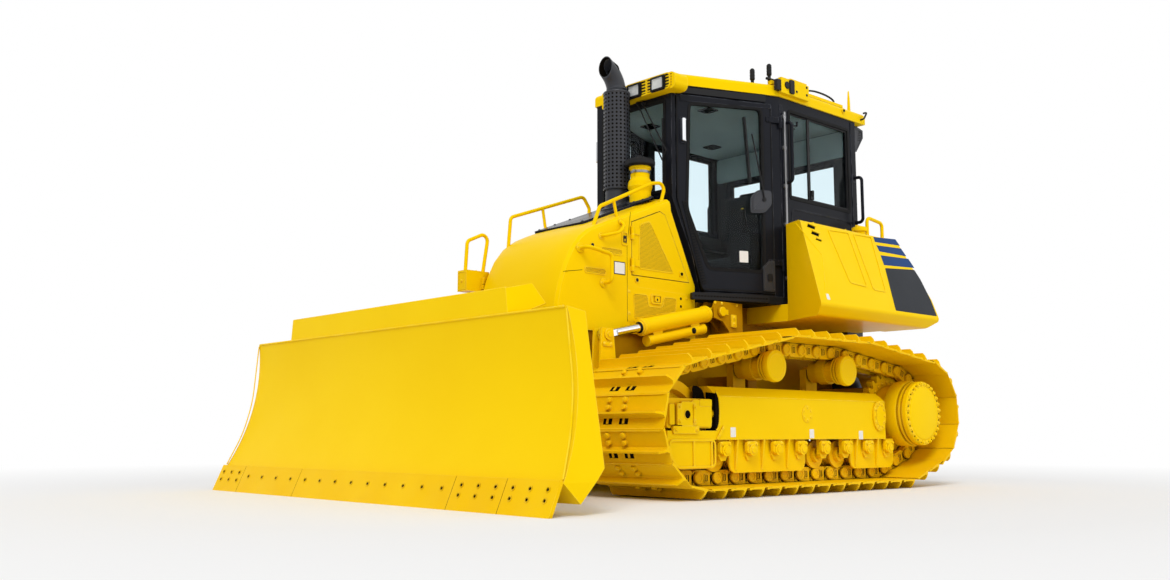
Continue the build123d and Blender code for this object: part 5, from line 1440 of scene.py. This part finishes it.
def buildDoorTrim(bm):
    # slots 0 rubber, 1 cab paint, 2 silver, 3 label, 5 black plastic, 6 charcoal
    s = cabTrim
    m = doorFace()
    glass = overDoor(s["doorGlass"])
    glass = softened(list(reversed(glass)), 0.05)
    grown = drawnIn(glass, -0.01)
    addFrame(bm, grown, 0.024, 0.0045, m, 0, back=-0.028)
    addPlate(bm, overDoor(reversed([(0.895, 3.035), (0.895, 3.084), (0.085, 3.084), (0.085, 3.052)])), 0.006,
            m, 1)
    addPlate(bm, rounded(-0.9, -0.846, 2.69, 2.905, 0.014), 0.01, m, 1)
    addPlate(bm, rounded(-0.89, -0.862, 2.706, 2.888, 0.01), 0.032, m, 2)
    for z in (2.712, 2.882):
        addBolt(bm, (-0.855, z), outFrom(m, 0.01), 0.006, 0.005, 2, False)
    corner = softened([(-0.186, 1.545), (-0.08, 1.545), (-0.08, 1.796), (-0.13, 1.79), (-0.186, 1.74)], 0.012,
            2)
    cover = softened(overDoor(reversed([(0.29, 2.17), (0.287, 2.3), (0.223, 2.363), (0.098, 2.363), (0.098,
            2.249), (0.163, 2.179)])), 0.025)
    addPlate(bm, cover, 0.014, m, 6)
    addPlate(bm, drawnIn(cover, 0.018), 0.02, m, 6)
    addPlate(bm, ringOf(-0.17, 2.285, 0.016), 0.03, m, 5)
    addTube(bm, [(-0.17, -0.026, 2.285), (-0.19, -0.028, 2.4), (-0.268, -0.016, 2.82)], 0.0065, m, 0.06, 5, 8)
    addPlate(bm, [(-0.292, 2.42), (-0.278, 2.418), (-0.322, 2.96), (-0.334, 2.958)], 0.014, m, 5, back=-0.024)
    addPlate(bm, rounded(-0.378, -0.3, 1.772, 1.864, 0.004, 2), -0.0252, m, 3, back=-0.0262)
    addPlate(bm, corner, 0.01, m, 6)
    addFrame(bm, drawnIn(corner, 0.01), 0.01, 0.014, m, 6, back=0.008)
    addPlate(bm, rounded(-0.15, -0.105, 1.625, 1.685, 0.012), 0.018, m, 5)
    # ribbed strip along the slanted front edge
    (w0, z0), (w1, z1) = (0.868, 2.22), (0.706, 1.59)
    run = Vector((w1 - w0, z1 - z0)).normalized()
    side = Vector((-run.y, run.x))
    for i in range(30):
        t = i / 29
        x, z = -(w0 + (w1 - w0) * t), z0 + (z1 - z0) * t
        a, b = Vector((-run.x, run.y)) * 0.0065, Vector((-side.x, side.y)) * 0.017
        outline = [(x - a.x - b.x, z - a.y - b.y), (x + a.x - b.x, z + a.y - b.y), (x + a.x + b.x,
                z + a.y + b.y), (x - a.x + b.x, z - a.y + b.y)]
        addPlate(bm, outline, 0.009, m)
    for z in (1.78, 2.96):
        plate = outFrom(m, 0.008)
        for w in (0.045, 0.105):
            for dz in (-0.013, 0.013):
                addBolt(bm, (-w, z + dz), plate, 0.0055, 0.005, 1, False)
    addFrame(bm, softened(overDoor(reversed([(0.08, 1.535), (0.72, 1.535), (0.928, 2.24), (0.928, 3.08),
            (0.08, 3.08)])), 0.02), 0.01, 0.0025, m)


def buildWipers(bm):
    # two windscreen wipers hung from the top edge, seen from the front
    y = cabTrim["frontY"]
    for pivot, tip in (((0.082, 3.078), (0.345, 2.56)), ((0.139, 3.067), (0.388, 2.634))):
        m = at((pivot[0], y, pivot[1]), (1, 0, 0)) @ spin(90)
        addLathe(bm, [(0.02, 0.0), (0.02, 0.012), (0.014, 0.02), (0.014, 0.034), (0.008, 0.038)], m, 0, 18)
        addTube(bm, [(pivot[0], y - 0.03, pivot[1]), (tip[0], y - 0.024, tip[1])], 0.0055, None, 0, 0, 8)
    addTube(bm, [(0.345, y - 0.024, 2.56), (0.388, y - 0.024, 2.634)], 0.005, None, 0, 0, 8)
    m = frontFace(y - 0.004)
    addPlate(bm, square(0.338, 0.352, 2.33, 2.9), 0.014, m)
    addPlate(bm, square(0.341, 0.349, 2.325, 2.905), 0.001, frontFace(y + 0.004), 0, back=-0.0195)


def buildRearBox(bm):
    # vents and end panels of the box below the roof's rear edge, and its two working lamps; the vent holes
    # are dark discs of painted shade
    for side in (1, -1):
        m = sideFace(0.74) if side > 0 else at((-0.74, 0, 0), (0, -1, 0))
        panel = [(2.9, 2.945), (2.985, 2.955), (3.068, 3.08), (3.068, 3.132), (2.972, 3.148), (2.9, 3.148)]
        panel = [(side * y, z) for y, z in panel]
        if side < 0:
            panel = list(reversed(panel))
        addFrame(bm, softened(panel, 0.012, 2), 0.008, 0.004, m)
        for row in range(6):
            for column in range(3):
                y, z = 3.01 + column * 0.016 - row * 0.003, 3.118 - row * 0.016 + column * 0.002
                addPlate(bm, ringOf(side * y, z, 0.0048, 8), 0.001, m, 1)
    rear = rearFace(3.08)
    for x in (-0.48, 0.48):
        addPlate(bm, rounded(x - 0.075, x + 0.075, 3.075, 3.142, 0.012), 0.012, rear)
        addPlate(bm, rounded(x - 0.06, x + 0.06, 3.084, 3.133, 0.01), 0.015, rear, 2)
    addBolts(bm, grid((-0.68, -0.23, 0, 0.23, 0.68), (3.108,)), rear, 0.007, 0.005)


makeOne("cabSeals", buildCabSeals, ["blackRubber"], 0.001)
makePair("slidingPanes", buildSlidingPanes, ["blackPlastic"], 0.0012)
makePair("cabSide", buildPillars, ["cabPaint", "darkGapAndPaintedShade", "boltSteel"], 0.0012)
makePair("doorSill", buildSill, ["blackPlastic", "darkGapAndPaintedShade"], 0.0015)


def openDoorways():
    # the doorways are opened right through the cab's wall, which slants a little more inside than outside
    s = cabTrim
    tree = bpy.data.node_groups.new("openDoorways", "GeometryNodeTree")
    for way in ("INPUT", "OUTPUT"):
        tree.interface.new_socket("Geometry", in_out=way, socket_type="NodeSocketGeometry")
    first, last = tree.nodes.new("NodeGroupInput"), tree.nodes.new("NodeGroupOutput")
    cut = tree.nodes.new("GeometryNodeMeshBoolean")
    cut.operation = "DIFFERENCE"
    tree.links.new(first.outputs[0], cut.inputs[0])
    (w0, w1), (z0, z1), depth = (0.072, 0.6), (1.522, 3.093), 0.067
    ax, ay = s["doorAlong"][:2]
    middle = (w0 + w1) / 2
    for side in (1, -1):
        block = tree.nodes.new("GeometryNodeMeshCube")
        block.inputs["Size"].default_value = (w1 - w0, 0.024, z1 - z0)
        place = tree.nodes.new("GeometryNodeTransform")
        place.inputs["Translation"].default_value = (side * (s["half"] - ax * middle - ay * depth),
                s["hingeY"] + shiftY - ay * middle + ax * depth, (z0 + z1) / 2)
        place.inputs["Rotation"].default_value = (0, 0, math.atan2(ay, side * ax))
        tree.links.new(block.outputs[0], place.inputs[0])
        tree.links.new(place.outputs[0], cut.inputs[1])
    tree.links.new(cut.outputs[0], last.inputs[0])
    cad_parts["cab_frame"].modifiers.new("openDoorways", "NODES").node_group = tree


openDoorways()
smoothNodes(["cab_frame"], 24)
for side, door, pane in zip(("left", "right"), makePair("doorFrame", buildDoor, ["cabPaint"], 0.003,
        body="cab_door_{}"),
                            makePair("doorPane", buildDoorPane, ["windowGlass"],
                                    body="cab_door_{}")):
    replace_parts(door, "cab_door_" + side)
    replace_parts(pane, "door_glass_" + side)
makePair("doorTrim", buildDoorTrim, ["blackRubber", "cabPaint", "silverTrim", "labelWhite", "darkGapAndPaintedShade",
        "blackPlastic", "charcoalPaint"], 0.0012, body="cab_door_{}")
makeOne("screenWipers", buildWipers, ["blackPlastic"])
makeOne("rearBoxTrim", buildRearBox, ["charcoalPaint", "darkGapAndPaintedShade", "lensGlass"], 0.001)
print("cab dressed")


# roof, tanks and rear
roofTrim = {"top": 3.265, "frontY": 0.78}


def buildLampBezels(bm):
    # the lamps in their slatted opening; slots 0 black, 1 bowl, 2 lens, 3 paint
    s = roofTrim
    front = frontFace(s["frontY"])
    opening = rounded(0.02, 0.5, 3.103, 3.221, 0.026)
    addPlate(bm, opening, 0.0008, front)
    addFrame(bm, drawnIn(opening, -0.006), 0.01, 0.012, front, 3)
    for z in (3.122, 3.147, 3.172, 3.197):
        addPlate(bm, square(0.022, 0.498, z - 0.0045, z + 0.0045), 0.008, front, 3)
    addPlate(bm, square(0.243, 0.26, 3.1, 3.224), 0.013, front, 3)
    z = 3.156
    for x in (0.122, 0.382):
        m = at((x, s["frontY"] - 0.01, z), (1, 0, 0))
        addPlate(bm, rounded(-0.076, 0.076, -0.06, 0.06, 0.012), 0.01, m, 0, back=-0.001)
        addFrame(bm, rounded(-0.07, 0.07, -0.055, 0.055, 0.012), 0.012, 0.022, m)
        addPlate(bm, rounded(-0.058, 0.058, -0.044, 0.044, 0.008), 0.0125, m, 1)
        for k in range(9):
            bar = -0.048 + k * 0.012
            addPlate(bm, square(bar - 0.0012, bar + 0.0012, -0.042, 0.042), 0.015, m, 1)
        addPlate(bm, ringOf(0, 0, 0.022, 20), 0.0155, m, 1)
        addPlate(bm, rounded(-0.059, 0.059, -0.045, 0.045, 0.008), 0.02, m, 2, back=-0.018)


def buildRoofFittings(bm):
    # cable loop, plug, beacon rod, rear loop and the roof's low ribs; slots 0 black, 1 paint
    top = roofTrim["top"]
    x = 0.765
    points = [(x, 2.4 + 0.2 * math.cos(a),
            top + 0.042 + 0.036 * math.sin(a)) for a in [2 * math.pi * k / 28 for k in range(29)]]
    addTube(bm, points, 0.0085, None, 0.01, 0, 8)
    for y in (2.28, 2.52):
        addBox(bm, (x - 0.014, y - 0.018, top - 0.001), (x + 0.014, y + 0.018, top + 0.018), at())
    side = sideFace(0.815)
    addPlate(bm, ringOf(2.658, 3.225, 0.022, 20), 0.012, side, 1)
    addPlate(bm, ringOf(2.658, 3.225, 0.012, 16), 0.02, side)
    rod = at((0.72, 2.9, 0))
    addLathe(bm, [(0.026, top - 0.001), (0.026, top + 0.014), (0.015, top + 0.02), (0.012, top + 0.12),
            (0.007, top + 0.205), (0.003, top + 0.215)], rod, 1, 16)
    addTube(bm, [(0.812, 2.935, 3.2), (0.85, 2.935, 3.2), (0.85, 2.985, 3.27), (0.812, 2.985, 3.27)], 0.008,
            None, 0.02, 0, 8)
    flat = at((0, 0, top))
    for xr in (-0.45, -0.15, 0.15, 0.45):
        addBox(bm, (xr - 0.03, 1.25, -0.001), (xr + 0.03, 2.75, 0.006), flat, 1)


def buildRoofBoxTrim(bm):
    # the dark bracket and tube at the front of the roof's box; slots 0 black, 1 paint
    top = roofTrim["top"]
    addTube(bm, [(0.76, 1.66, top + 0.045), (0.76, 1.885, top + 0.05)], 0.012, None, 0, 0, 10)
    face = sideFace(0.83)
    addFrame(bm, rounded(1.905, 2.1, top + 0.008, top + 0.07, 0.008), 0.006, 0.003, face, 1)
    addBolts(bm, grid((1.925, 2.08), (top + 0.039,)), face, 0.006, 0.005)
    front = frontFace(1.89)
    addPlate(bm, rounded(0.7, 0.815, top + 0.004, top + 0.072, 0.008), 0.008, front)
    addBox(bm, (0.815, 1.74, 3.19), (0.85, 2.115, top + 0.055), at(), 1)
    addBox(bm, (0.812, 1.69, 3.205), (0.846, 1.742, top + 0.03), at())
    side = sideFace(0.85)
    addPlate(bm, ringOf(1.812, 3.262, 0.03), 0.01, side)
    addPlate(bm, rounded(1.842, 1.9, 3.2, 3.316, 0.012), 0.014, side)
    addBolts(bm, ((1.945, 3.235), (2.085, 3.235), (2.085, 3.3)), side, 0.008, 0.007, 0)


def buildAntennaTrim(bm):
    for x, y in ((0.48, 1.83), (0.65, 1.84)):
        m = at((x, y, roofTrim["top"]))
        addLathe(bm, [(0.042, -0.0005), (0.042, 0.004), (0.033, 0.006)], m, 0, 24)
        for h in (0.15, 0.175, 0.2):
            addLathe(bm, [(0.0205, h - 0.004), (0.0222, h - 0.002), (0.0222, h + 0.002), (0.0205, h + 0.004)],
                    m, 0, 20)


def tankFace():
    return at((1.325, 0, 1.39), (0, 1, 0), (-0.265, 0, 0.7))


tankTrim = {
    "stripes": [[(2.677, 0.73), (3.036, 0.757), (3.071, 0.698), (2.671, 0.682)],
                [(2.674, 0.65), (3.072, 0.67), (3.11, 0.598), (2.684, 0.593)],
                [(2.679, 0.555), (3.128, 0.575), (3.17, 0.491), (2.674, 0.461)]],
    "rearPanel": [(2.671, 0.432), (3.155, 0.47), (3.197, 0.375), (3.232, 0.185), (3.228, 0.03), (2.58, 0.03)],
    "panels": [[(1.996, 0.709), (2.299, 0.723), (2.276, 0.21), (2.038, 0.226)], [(2.363, 0.722), (2.64,
            0.729), (2.54, 0.19), (2.35, 0.195)]],
    "louvres": [[(1.715, 0.69), (1.812, 0.678), (1.828, 0.706), (1.745, 0.72)], [(1.738, 0.63), (1.832,
            0.616), (1.85, 0.646), (1.765, 0.658)],
                [(1.772, 0.582), (1.842, 0.572), (1.852, 0.588), (1.79, 0.596)]],
    "label": (1.632, 1.672, 0.045, 0.095),
}


def buildTankDecals(bm):
    # coloured bands and the dark rear panel; slots 0 blue, 1 grey, 2 label
    m = tankFace()
    for outline in tankTrim["stripes"]:
        addPlate(bm, list(reversed(outline)), 0.0012, m)
    addPlate(bm, softened(list(reversed(tankTrim["rearPanel"])), 0.012, 2), 0.0015, m, 1)
    x0, x1, z0, z1 = tankTrim["label"]
    addPlate(bm, rounded(x0, x1, z0, z1, 0.004, 2), 0.0012, m, 2)


def buildTankPanels(bm):
    # the pressed panels, louvres and the fill cap's ribs; slots 0 paint, 1 dark for painted shade in the
    # louvres' openings, 2 steel
    m = tankFace()
    for outline in tankTrim["panels"]:
        shape = softened(list(reversed(outline)), 0.03)
        addFrame(bm, shape, 0.012, 0.006, m)
    for outline in tankTrim["louvres"]:
        addPlate(bm, outline, 0.001, m, 1)
        (x0, z0), (x1, z1), (x2, z2), (x3, z3) = outline
        addPlate(bm, [(x3, z3 - 0.004), (x2, z2 - 0.004), (x2 + 0.004, z2 + 0.006), (x3 - 0.004, z3 + 0.006)],
                0.01, m)
    crease = [(1.575, 0.7), (1.782, 0.445), (1.625, 0.06)]
    for (x0, z0), (x1, z1) in zip(crease, crease[1:]):
        addTube(bm, [(x0, 0.0, z0), (x1, 0.0, z1)], 0.004, m, 0, 0, 8)
    cap = at((0.97, 2.62, 0))
    addLathe(bm, [(0.0605, 2.126), (0.0655, 2.129), (0.0655, 2.152), (0.0605, 2.156)], cap, 0, 48, 0.003)
    addBox(bm, (-0.008, -0.05, 2.165), (0.008, 0.05, 2.176), cap)
    for y in (2.74, 2.97):
        foot = at((0.97, y, 2.09))
        addLathe(bm, [(0.03, -0.001), (0.03, 0.006), (0.024, 0.01), (0.0155, 0.012)], foot, 0, 24)
    low = at((0, 0, 2.09))
    addBox(bm, (0.895, 1.85, -0.001), (1.025, 2.4, 0.006), low)
    for y in (1.9, 2.35):
        for x in (0.91, 1.01):
            head = at((x, y, 2.096))
            addLathe(bm, [(0.011, 0), (0.011, 0.002), (0.008, 0.003), (0.008, 0.009), (0.006, 0.01)], head, 0,
                    6)
    rear = rearFace(3.25)
    addFrame(bm, rounded(-1.24, -0.92, 1.4, 1.53, 0.02), 0.01, 0.004, rear)


def buildRearHousing(bm):
    # raised rims, bolts and hinge pads on the back
    rear = rearFace(3.16)
    for x in (-0.7, 0.7):
        addFrame(bm, rounded(x - 0.1, x + 0.1, 1.5, 1.98, 0.02), 0.01, 0.004, rear)
        for z in (1.54, 1.94):
            addBolt(bm, (x, z), rear, 0.01, 0.008)
    addFrame(bm, rounded(-0.55, 0.55, 0.82, 1.4, 0.03), 0.014, 0.006, rear)
    addBolts(bm, grid((-0.58, -0.2, 0.2, 0.58), (0.8, 1.425)), rear, 0.011, 0.009)
    for x in (-0.5, 0.5):
        addPlate(bm, rounded(x - 0.06, x + 0.06, 1.985, 2.022, 0.01), 0.012, rear)


def buildGrilleSlats(bm):
    # slanted slats in a rim, a catch and its blank plate; slots 0 charcoal, 1 dark for the painted shade
    # behind the slats
    rear = rearFace(3.16)
    addFrame(bm, rounded(-0.548, 0.548, 1.517, 1.958, 0.012), 0.022, 0.01, rear)
    addPlate(bm, rounded(-0.52, 0.52, 1.545, 1.93, 0.008), 0.0008, rear, 1)
    for i in range(15):
        z = 1.552 + i * 0.0255
        rings = [addRing(bm, [(x, -0.001, z + 0.016), (x, -0.012, z + 0.004), (x, -0.012, z), (x, -0.001,
                z + 0.01)], rear) for x in (-0.518, 0.518)]
        addSkin(bm, rings, 0)
    for x in (-0.26, 0, 0.26):
        addPlate(bm, square(x - 0.006, x + 0.006, 1.545, 1.93), 0.014, rear)
    addPlate(bm, rounded(0.48, 0.53, 1.7, 1.78, 0.012), 0.022, rear)


def buildDrawbar(bm):
    rear = rearFace(3.1)
    addBolts(bm, grid((-0.145, 0.145), (0.455, 0.55, 0.63, 0.725)), rear, 0.016, 0.014)
    for z in (0.681, 0.499):
        ring = at((0, 3.22, z))
        edge = 0.004 if z > 0.6 else -0.004
        rings = []
        for r, h in ((0.045, 0.0), (0.045, edge), (0.028, edge), (0.028, 0.0)):
            rings.append(addRing(bm, [(x, y, h) for x, y in ringOf(0, 0, r, 28)], ring))
        addSkin(bm, rings + [rings[0]], 0, caps=False)


def buildBelly(bm):
    # bolted plates under the frame
    for y0, y1 in ((-0.1, 0.85), (0.87, 1.85), (1.87, 2.95)):
        low = at((0, 0, 0.395))
        addBox(bm, (-0.4, y0, -0.01), (0.4, y1, 0.001), low)
        for x in (-0.36, 0.36):
            for y in (y0 + 0.06, (y0 + y1) / 2, y1 - 0.06):
                head = at((x, y, 0.385)) @ Matrix.Rotation(math.pi, 4, "X")
                addLathe(bm, [(0.02, -0.001), (0.02, 0.003), (0.014, 0.004), (0.014, 0.014), (0.011, 0.016)],
                        head, 0, 6)


makeOne("lampBezels", buildLampBezels, ["blackPlastic", "labelWhite", "lensGlass", "yellowPaint"])
makeOne("roofFittings", buildRoofFittings, ["blackPlastic", "yellowPaint"], 0.001)
makeOne("roofBoxTrim", buildRoofBoxTrim, ["blackPlastic", "yellowPaint"], 0.001)
makeOne("antennaTrim", buildAntennaTrim, ["blackPlastic"])
makePair("tankDecals", buildTankDecals, ["stripeBlue", "greyPanel", "labelWhite"])
makePair("tankPanels", buildTankPanels, ["yellowPaint", "darkGapAndPaintedShade", "boltSteel"], 0.0015)
makeOne("rearHousingTrim", buildRearHousing, ["charcoalPaint", "darkGapAndPaintedShade"], 0.0015)
makeOne("grilleSlats", buildGrilleSlats, ["charcoalPaint", "darkGapAndPaintedShade"], body="rear_grille")
makeOne("drawbarTrim", buildDrawbar, ["yellowPaint"], 0.0012)
makeOne("bellyPlates", buildBelly, ["yellowPaint"], 0.002)
print("roof, tanks and rear dressed")


# cab inside
seatTrim = {"y": 2.05, "floor": 1.505}


def roundedPad(name, size, place, tilt, crown, channels):
    # a crowned, stitched cushion: a closed lofted pad with sides that pull in between its corners
    wide, deep, thick = size
    bm = bmesh.new()
    columns, rows = 20, 20
    corner = {}
    for face in (1, -1):
        for i in range(columns + 1):
            for j in range(rows + 1):
                u, v = 2 * i / columns - 1, 2 * j / rows - 1
                edge = (1 - abs(u) ** 6) * (1 - abs(v) ** 6)
                pull = 1 - 0.045 * (1 - v * v) * abs(u) ** 3
                pinch = 1 - 0.035 * (1 - u * u) * abs(v) ** 3
                x, y = u * wide / 2 * pull, v * deep / 2 * pinch
                rise = thick / 2 * (0.42 + 0.58 * edge ** 0.45)
                if face > 0:
                    rise += crown * edge * math.cos(u * 1.2) * math.cos(v * 1.2)
                    for c in channels:
                        rise -= 0.01 * math.exp(-((v - c) / 0.035) ** 2) * edge
                    bolster = max(0.0, abs(u) - 0.62) / 0.38
                    rise += 0.03 * math.sin(min(1.0, bolster) * math.pi) * edge ** 0.3
                corner[face, i, j] = bm.verts.new((x, y, face * rise))
    for face in (1, -1):
        for i in range(columns):
            for j in range(rows):
                corners = [corner[face, i, j], corner[face, i + 1, j], corner[face, i + 1, j + 1],
                        corner[face, i, j + 1]]
                bm.faces.new(corners if face > 0 else reversed(corners))
    rim = [(i, 0) for i in range(columns)] + [(columns, j) for j in range(rows)]
    rim += [(i, rows) for i in range(columns, 0, -1)] + [(0, j) for j in range(rows, 0, -1)]
    ringTop, ringLow = [[corner[(face, *spot)] for spot in rim] for face in (1, -1)]
    count = len(rim)
    for k in range(count):
        bm.faces.new((ringTop[k], ringLow[k], ringLow[(k + 1) % count], ringTop[(k + 1) % count]))
    for face in bm.faces:
        face.smooth = True
    matrix = at(place) @ spin(tilt)
    for v in bm.verts:
        v.co = matrix @ v.co
    pad = makePiece(name, bm, ["seatFabric"], 0.0, "machine", 80)
    smooth = pad.modifiers.new("smoothPad", "SUBSURF")
    smooth.levels = 1
    smooth.render_levels = 1
    return pad


def buildSeatBase(bm):
    # suspension bellows, shell, arm rests and rails; slots 0 plastic, 1 rubber
    s = seatTrim
    y, floor = s["y"], s["floor"]
    base = at((0, y + 0.05, 0))
    rings = []
    for k in range(9):
        z = floor + 0.03 + k * 0.027
        w = 0.19 if k % 2 == 0 else 0.172
        rings.append(addRing(bm, [(-w, -0.2, z), (w, -0.2, z), (w, 0.2, z), (-w, 0.2, z)], base))
    addSkin(bm, rings, 1)
    addBox(bm, (-0.2, -0.21, floor), (0.2, 0.21, floor + 0.035), base)
    addBox(bm, (-0.22, -0.24, floor + 0.25), (0.22, 0.24, floor + 0.3), base)
    shell = at((0, y + 0.405, 2.24), (-1, 0, 0), (0, 0.1, 0.6))
    addPlate(bm, rounded(-0.215, 0.215, -0.3, 0.3, 0.06), 0.035, shell)
    for side in (-1, 1):
        x = side * 0.285
        addTube(bm, [(x, y + 0.3, 1.95), (x, y + 0.26, 2.05)], 0.018, None, 0, 0, 10)
        addBox(bm, (x - 0.035, y - 0.16, 2.055), (x + 0.035, y + 0.28, 2.105), at())


def buildConsoleTrim(bm):
    # levers, knobs, monitor and pedals; slots 0 plastic, 1 rubber, 2 yellow, 3 silver
    top = 2.065
    for x in (0.4, -0.4):
        m = at((x, 1.8, top))
        addLathe(bm, [(0.055, -0.001), (0.05, 0.012), (0.034, 0.03), (0.038, 0.042), (0.026, 0.058), (0.028,
                0.068), (0.012, 0.082)], m, 1, 24)
        addTube(bm, [(x, 1.8, top + 0.07), (x, 1.785, top + 0.12)], 0.011, None, 0, 1, 10)
        grip = at((x, 1.783, top + 0.115)) @ spin(12)
        addLathe(bm, [(0.016, 0.0), (0.022, 0.014), (0.019, 0.045), (0.024, 0.078), (0.026, 0.096), (0.016,
                0.108)], grip, 0, 18)
        addLathe(bm, [(0.01, 0.104), (0.01, 0.113), (0.006, 0.116)], grip, 2, 12)
    for x, y in ((0.36, 2.12), (0.43, 2.12)):
        addTube(bm, [(x, y, top), (x, y - 0.02, top + 0.1)], 0.006, None, 0, 3, 8)
        knob = at((x, y - 0.021, top + 0.1))
        addLathe(bm, [(0.008, 0.0), (0.015, 0.008), (0.016, 0.022), (0.009, 0.03)], knob, 2, 16)
    for x in (0.415, -0.415):
        addBox(bm, (x - 0.075, 2.18, top - 0.001), (x + 0.075, 2.32, top + 0.012), at(), 1)
    panel = at((0, 1.3, 2.13), (1, 0, 0), (0, 0.35, 0.94))
    addPlate(bm, rounded(-0.17, 0.17, -0.075, 0.085, 0.02), 0.012, panel, 0, back=-0.03)
    addPlate(bm, rounded(-0.09, 0.09, -0.05, 0.06, 0.01), 0.001, at((0, 1.335, 2.14), (-1, 0, 0), (0, 0.35,
            0.94)), 1)
    addTube(bm, [(0, 1.28, 2.05), (0, 1.3, 2.13)], 0.02, None, 0, 0, 10)
    for x in (-0.12, 0.02, 0.15):
        pedal = at((x, 1.44, 1.6), (1, 0, 0), (0, -0.45, 0.9))
        addPlate(bm, rounded(-0.04, 0.04, -0.06, 0.06, 0.012), 0.01, pedal, 1)
        addTube(bm, [(x, 1.45, 1.6), (x, 1.36, 1.66)], 0.008, None, 0, 1, 8)


def buildHeadliner(bm):
    # the ceiling with its two square vents and lamp; slots 0 cloth, 1 dark for painted shade inside the
    # vents, 2 plastic
    z = 3.108
    outline = softened([(-0.36, 0.94), (0.36, 0.94), (0.735, 1.785), (0.735, 2.795), (-0.735, 2.795), (-0.735,
            1.785)], 0.06)
    down = at((0, 0, z))
    rings = []
    for inset, drop in ((0.0, 0.0), (0.004, -0.014), (0.022, -0.022)):
        shape = drawnIn(outline, inset) if inset else outline
        rings.append(addRing(bm, [(x, y, drop) for x, y in shape], down))
    addSkin(bm, rings, 0)
    for x, y in ((0.33, 1.42), (-0.33, 1.42), (0.42, 2.35), (-0.42, 2.35)):
        vent = at((x, y, z - 0.022)) @ spin(90)
        addFrame(bm, rounded(-0.065, 0.065, -0.065, 0.065, 0.012), 0.012, -0.008, flipped(vent), 2)
        addPlate(bm, rounded(-0.055, 0.055, -0.055, 0.055, 0.01), 0.0012, flipped(vent), 1)
        for k in range(5):
            bar = -0.04 + k * 0.02
            addPlate(bm, square(-0.052, 0.052, bar - 0.003, bar + 0.003), 0.006, flipped(vent), 2)
    for side in (-1, 1):
        addTube(bm, [(side * 0.62, 1.95, z - 0.02), (side * 0.62, 1.95, z - 0.065), (side * 0.62, 2.25,
                z - 0.065), (side * 0.62, 2.25, z - 0.02)], 0.01, None, 0.03, 2, 8)


def buildLining(bm):
    # trim on the inside of the rear wall and the posts; slot 0 plastic, 1 the pale upper panels
    rear = frontFace(2.803)
    addPads(bm, rear, 0, [
        (-0.72, 0.72, 1.53, 2.27, 0.04, 0.018), (-0.55, 0.55, 1.62, 2.18, 0.04, 0.03),
    ])
    addBox(bm, (-0.735, 1.8, 1.53), (-0.695, 2.78, 2.29), at())
    addBox(bm, (-0.736, 1.772, 2.29), (-0.704, 1.872, 3.08), at())
    upper = frontFace(2.8)
    addPlate(bm, rounded(-0.735, 0.735, 2.85, 3.086, 0.03), 0.02, upper, 1)
    for side in (-1, 1):
        x0, x1 = sorted((side * 0.735, side * 0.622))
        addPlate(bm, rounded(x0, x1, 2.295, 2.846, 0.02), 0.016, upper)


makeOne("seatShell", buildSeatBase, ["blackPlastic", "blackRubber"], 0.004)
seatCushion = roundedPad("seatCushion", (0.5, 0.5, 0.115), (0, 2.055, 1.868), 4, 0.016, (-0.35, 0.3))
seatBack = roundedPad("seatBack", (0.46, 0.62, 0.11), (0, 2.365, 2.25), 99, 0.012, (-0.5, 0.0, 0.5))
headRest = roundedPad("headRest", (0.27, 0.19, 0.09), (0, 2.43, 2.5), 99, 0.01, ())
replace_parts(seatCushion, "seat")
makeOne("consoleTrim", buildConsoleTrim, ["blackPlastic", "blackRubber", "yellowPaint", "silverTrim",
        "headliner"], 0.003)
makeOne("cabHeadliner", buildHeadliner, ["headliner", "darkGapAndPaintedShade", "blackPlastic"])
makeOne("cabLining", buildLining, ["blackPlastic", "headliner"], 0.004)
print("cab interior dressed")


# fan and engine
def buildFanHub(bm):
    m = at((0, 3.06, 1.7375), (1, 0, 0)) @ spin(-90)
    addLathe(bm, [(0.058, 0.0), (0.055, 0.008), (0.03, 0.012), (0.012, 0.02)], m, 0, 30)
    for k in range(6):
        a = 2 * math.pi * k / 6
        head = m @ Matrix.Translation((0.043 * math.cos(a), 0.043 * math.sin(a), 0.009)) @ spin(-90)
        addBolt(bm, (0, 0), head, 0.006, 0.005)


def buildEngine(bm):
    # a plain suggestion of head, cover and filter on the block; slots 0 iron, 1 black
    addBox(bm, (-0.16, 0.02, 1.359), (0.16, 0.8, 1.42), at())
    addBox(bm, (-0.11, 0.05, 1.419), (0.11, 0.77, 1.475), at(), 1)
    for side in (-1, 1):
        m = at((side * 0.3, 0, 0), (0, side, 0))
        for k in range(6):
            y = side * (0.02 + k * 0.145)
            addPlate(bm, rounded(y - 0.02, y + 0.02, 0.62, 1.33, 0.015), 0.018, m)
        for k in range(4):
            addPlate(bm, ringOf(side * (0.1 + k * 0.2), 1.18, 0.045, 20), 0.022, m)
    can = at((0.355, 0.3, 0.95))
    addLathe(bm, [(0.03, 0.0), (0.048, 0.008), (0.05, 0.2), (0.042, 0.215), (0.042, 0.24)], can, 1, 28)
    addBox(bm, (0.299, 0.25, 1.185), (0.4, 0.35, 1.23), at())


makeOne("fanHub", buildFanHub, ["charcoalPaint"], body="fan")
makeOne("engineTrim", buildEngine, ["engineIron", "blackPlastic"], 0.003)
print("fan and engine dressed")
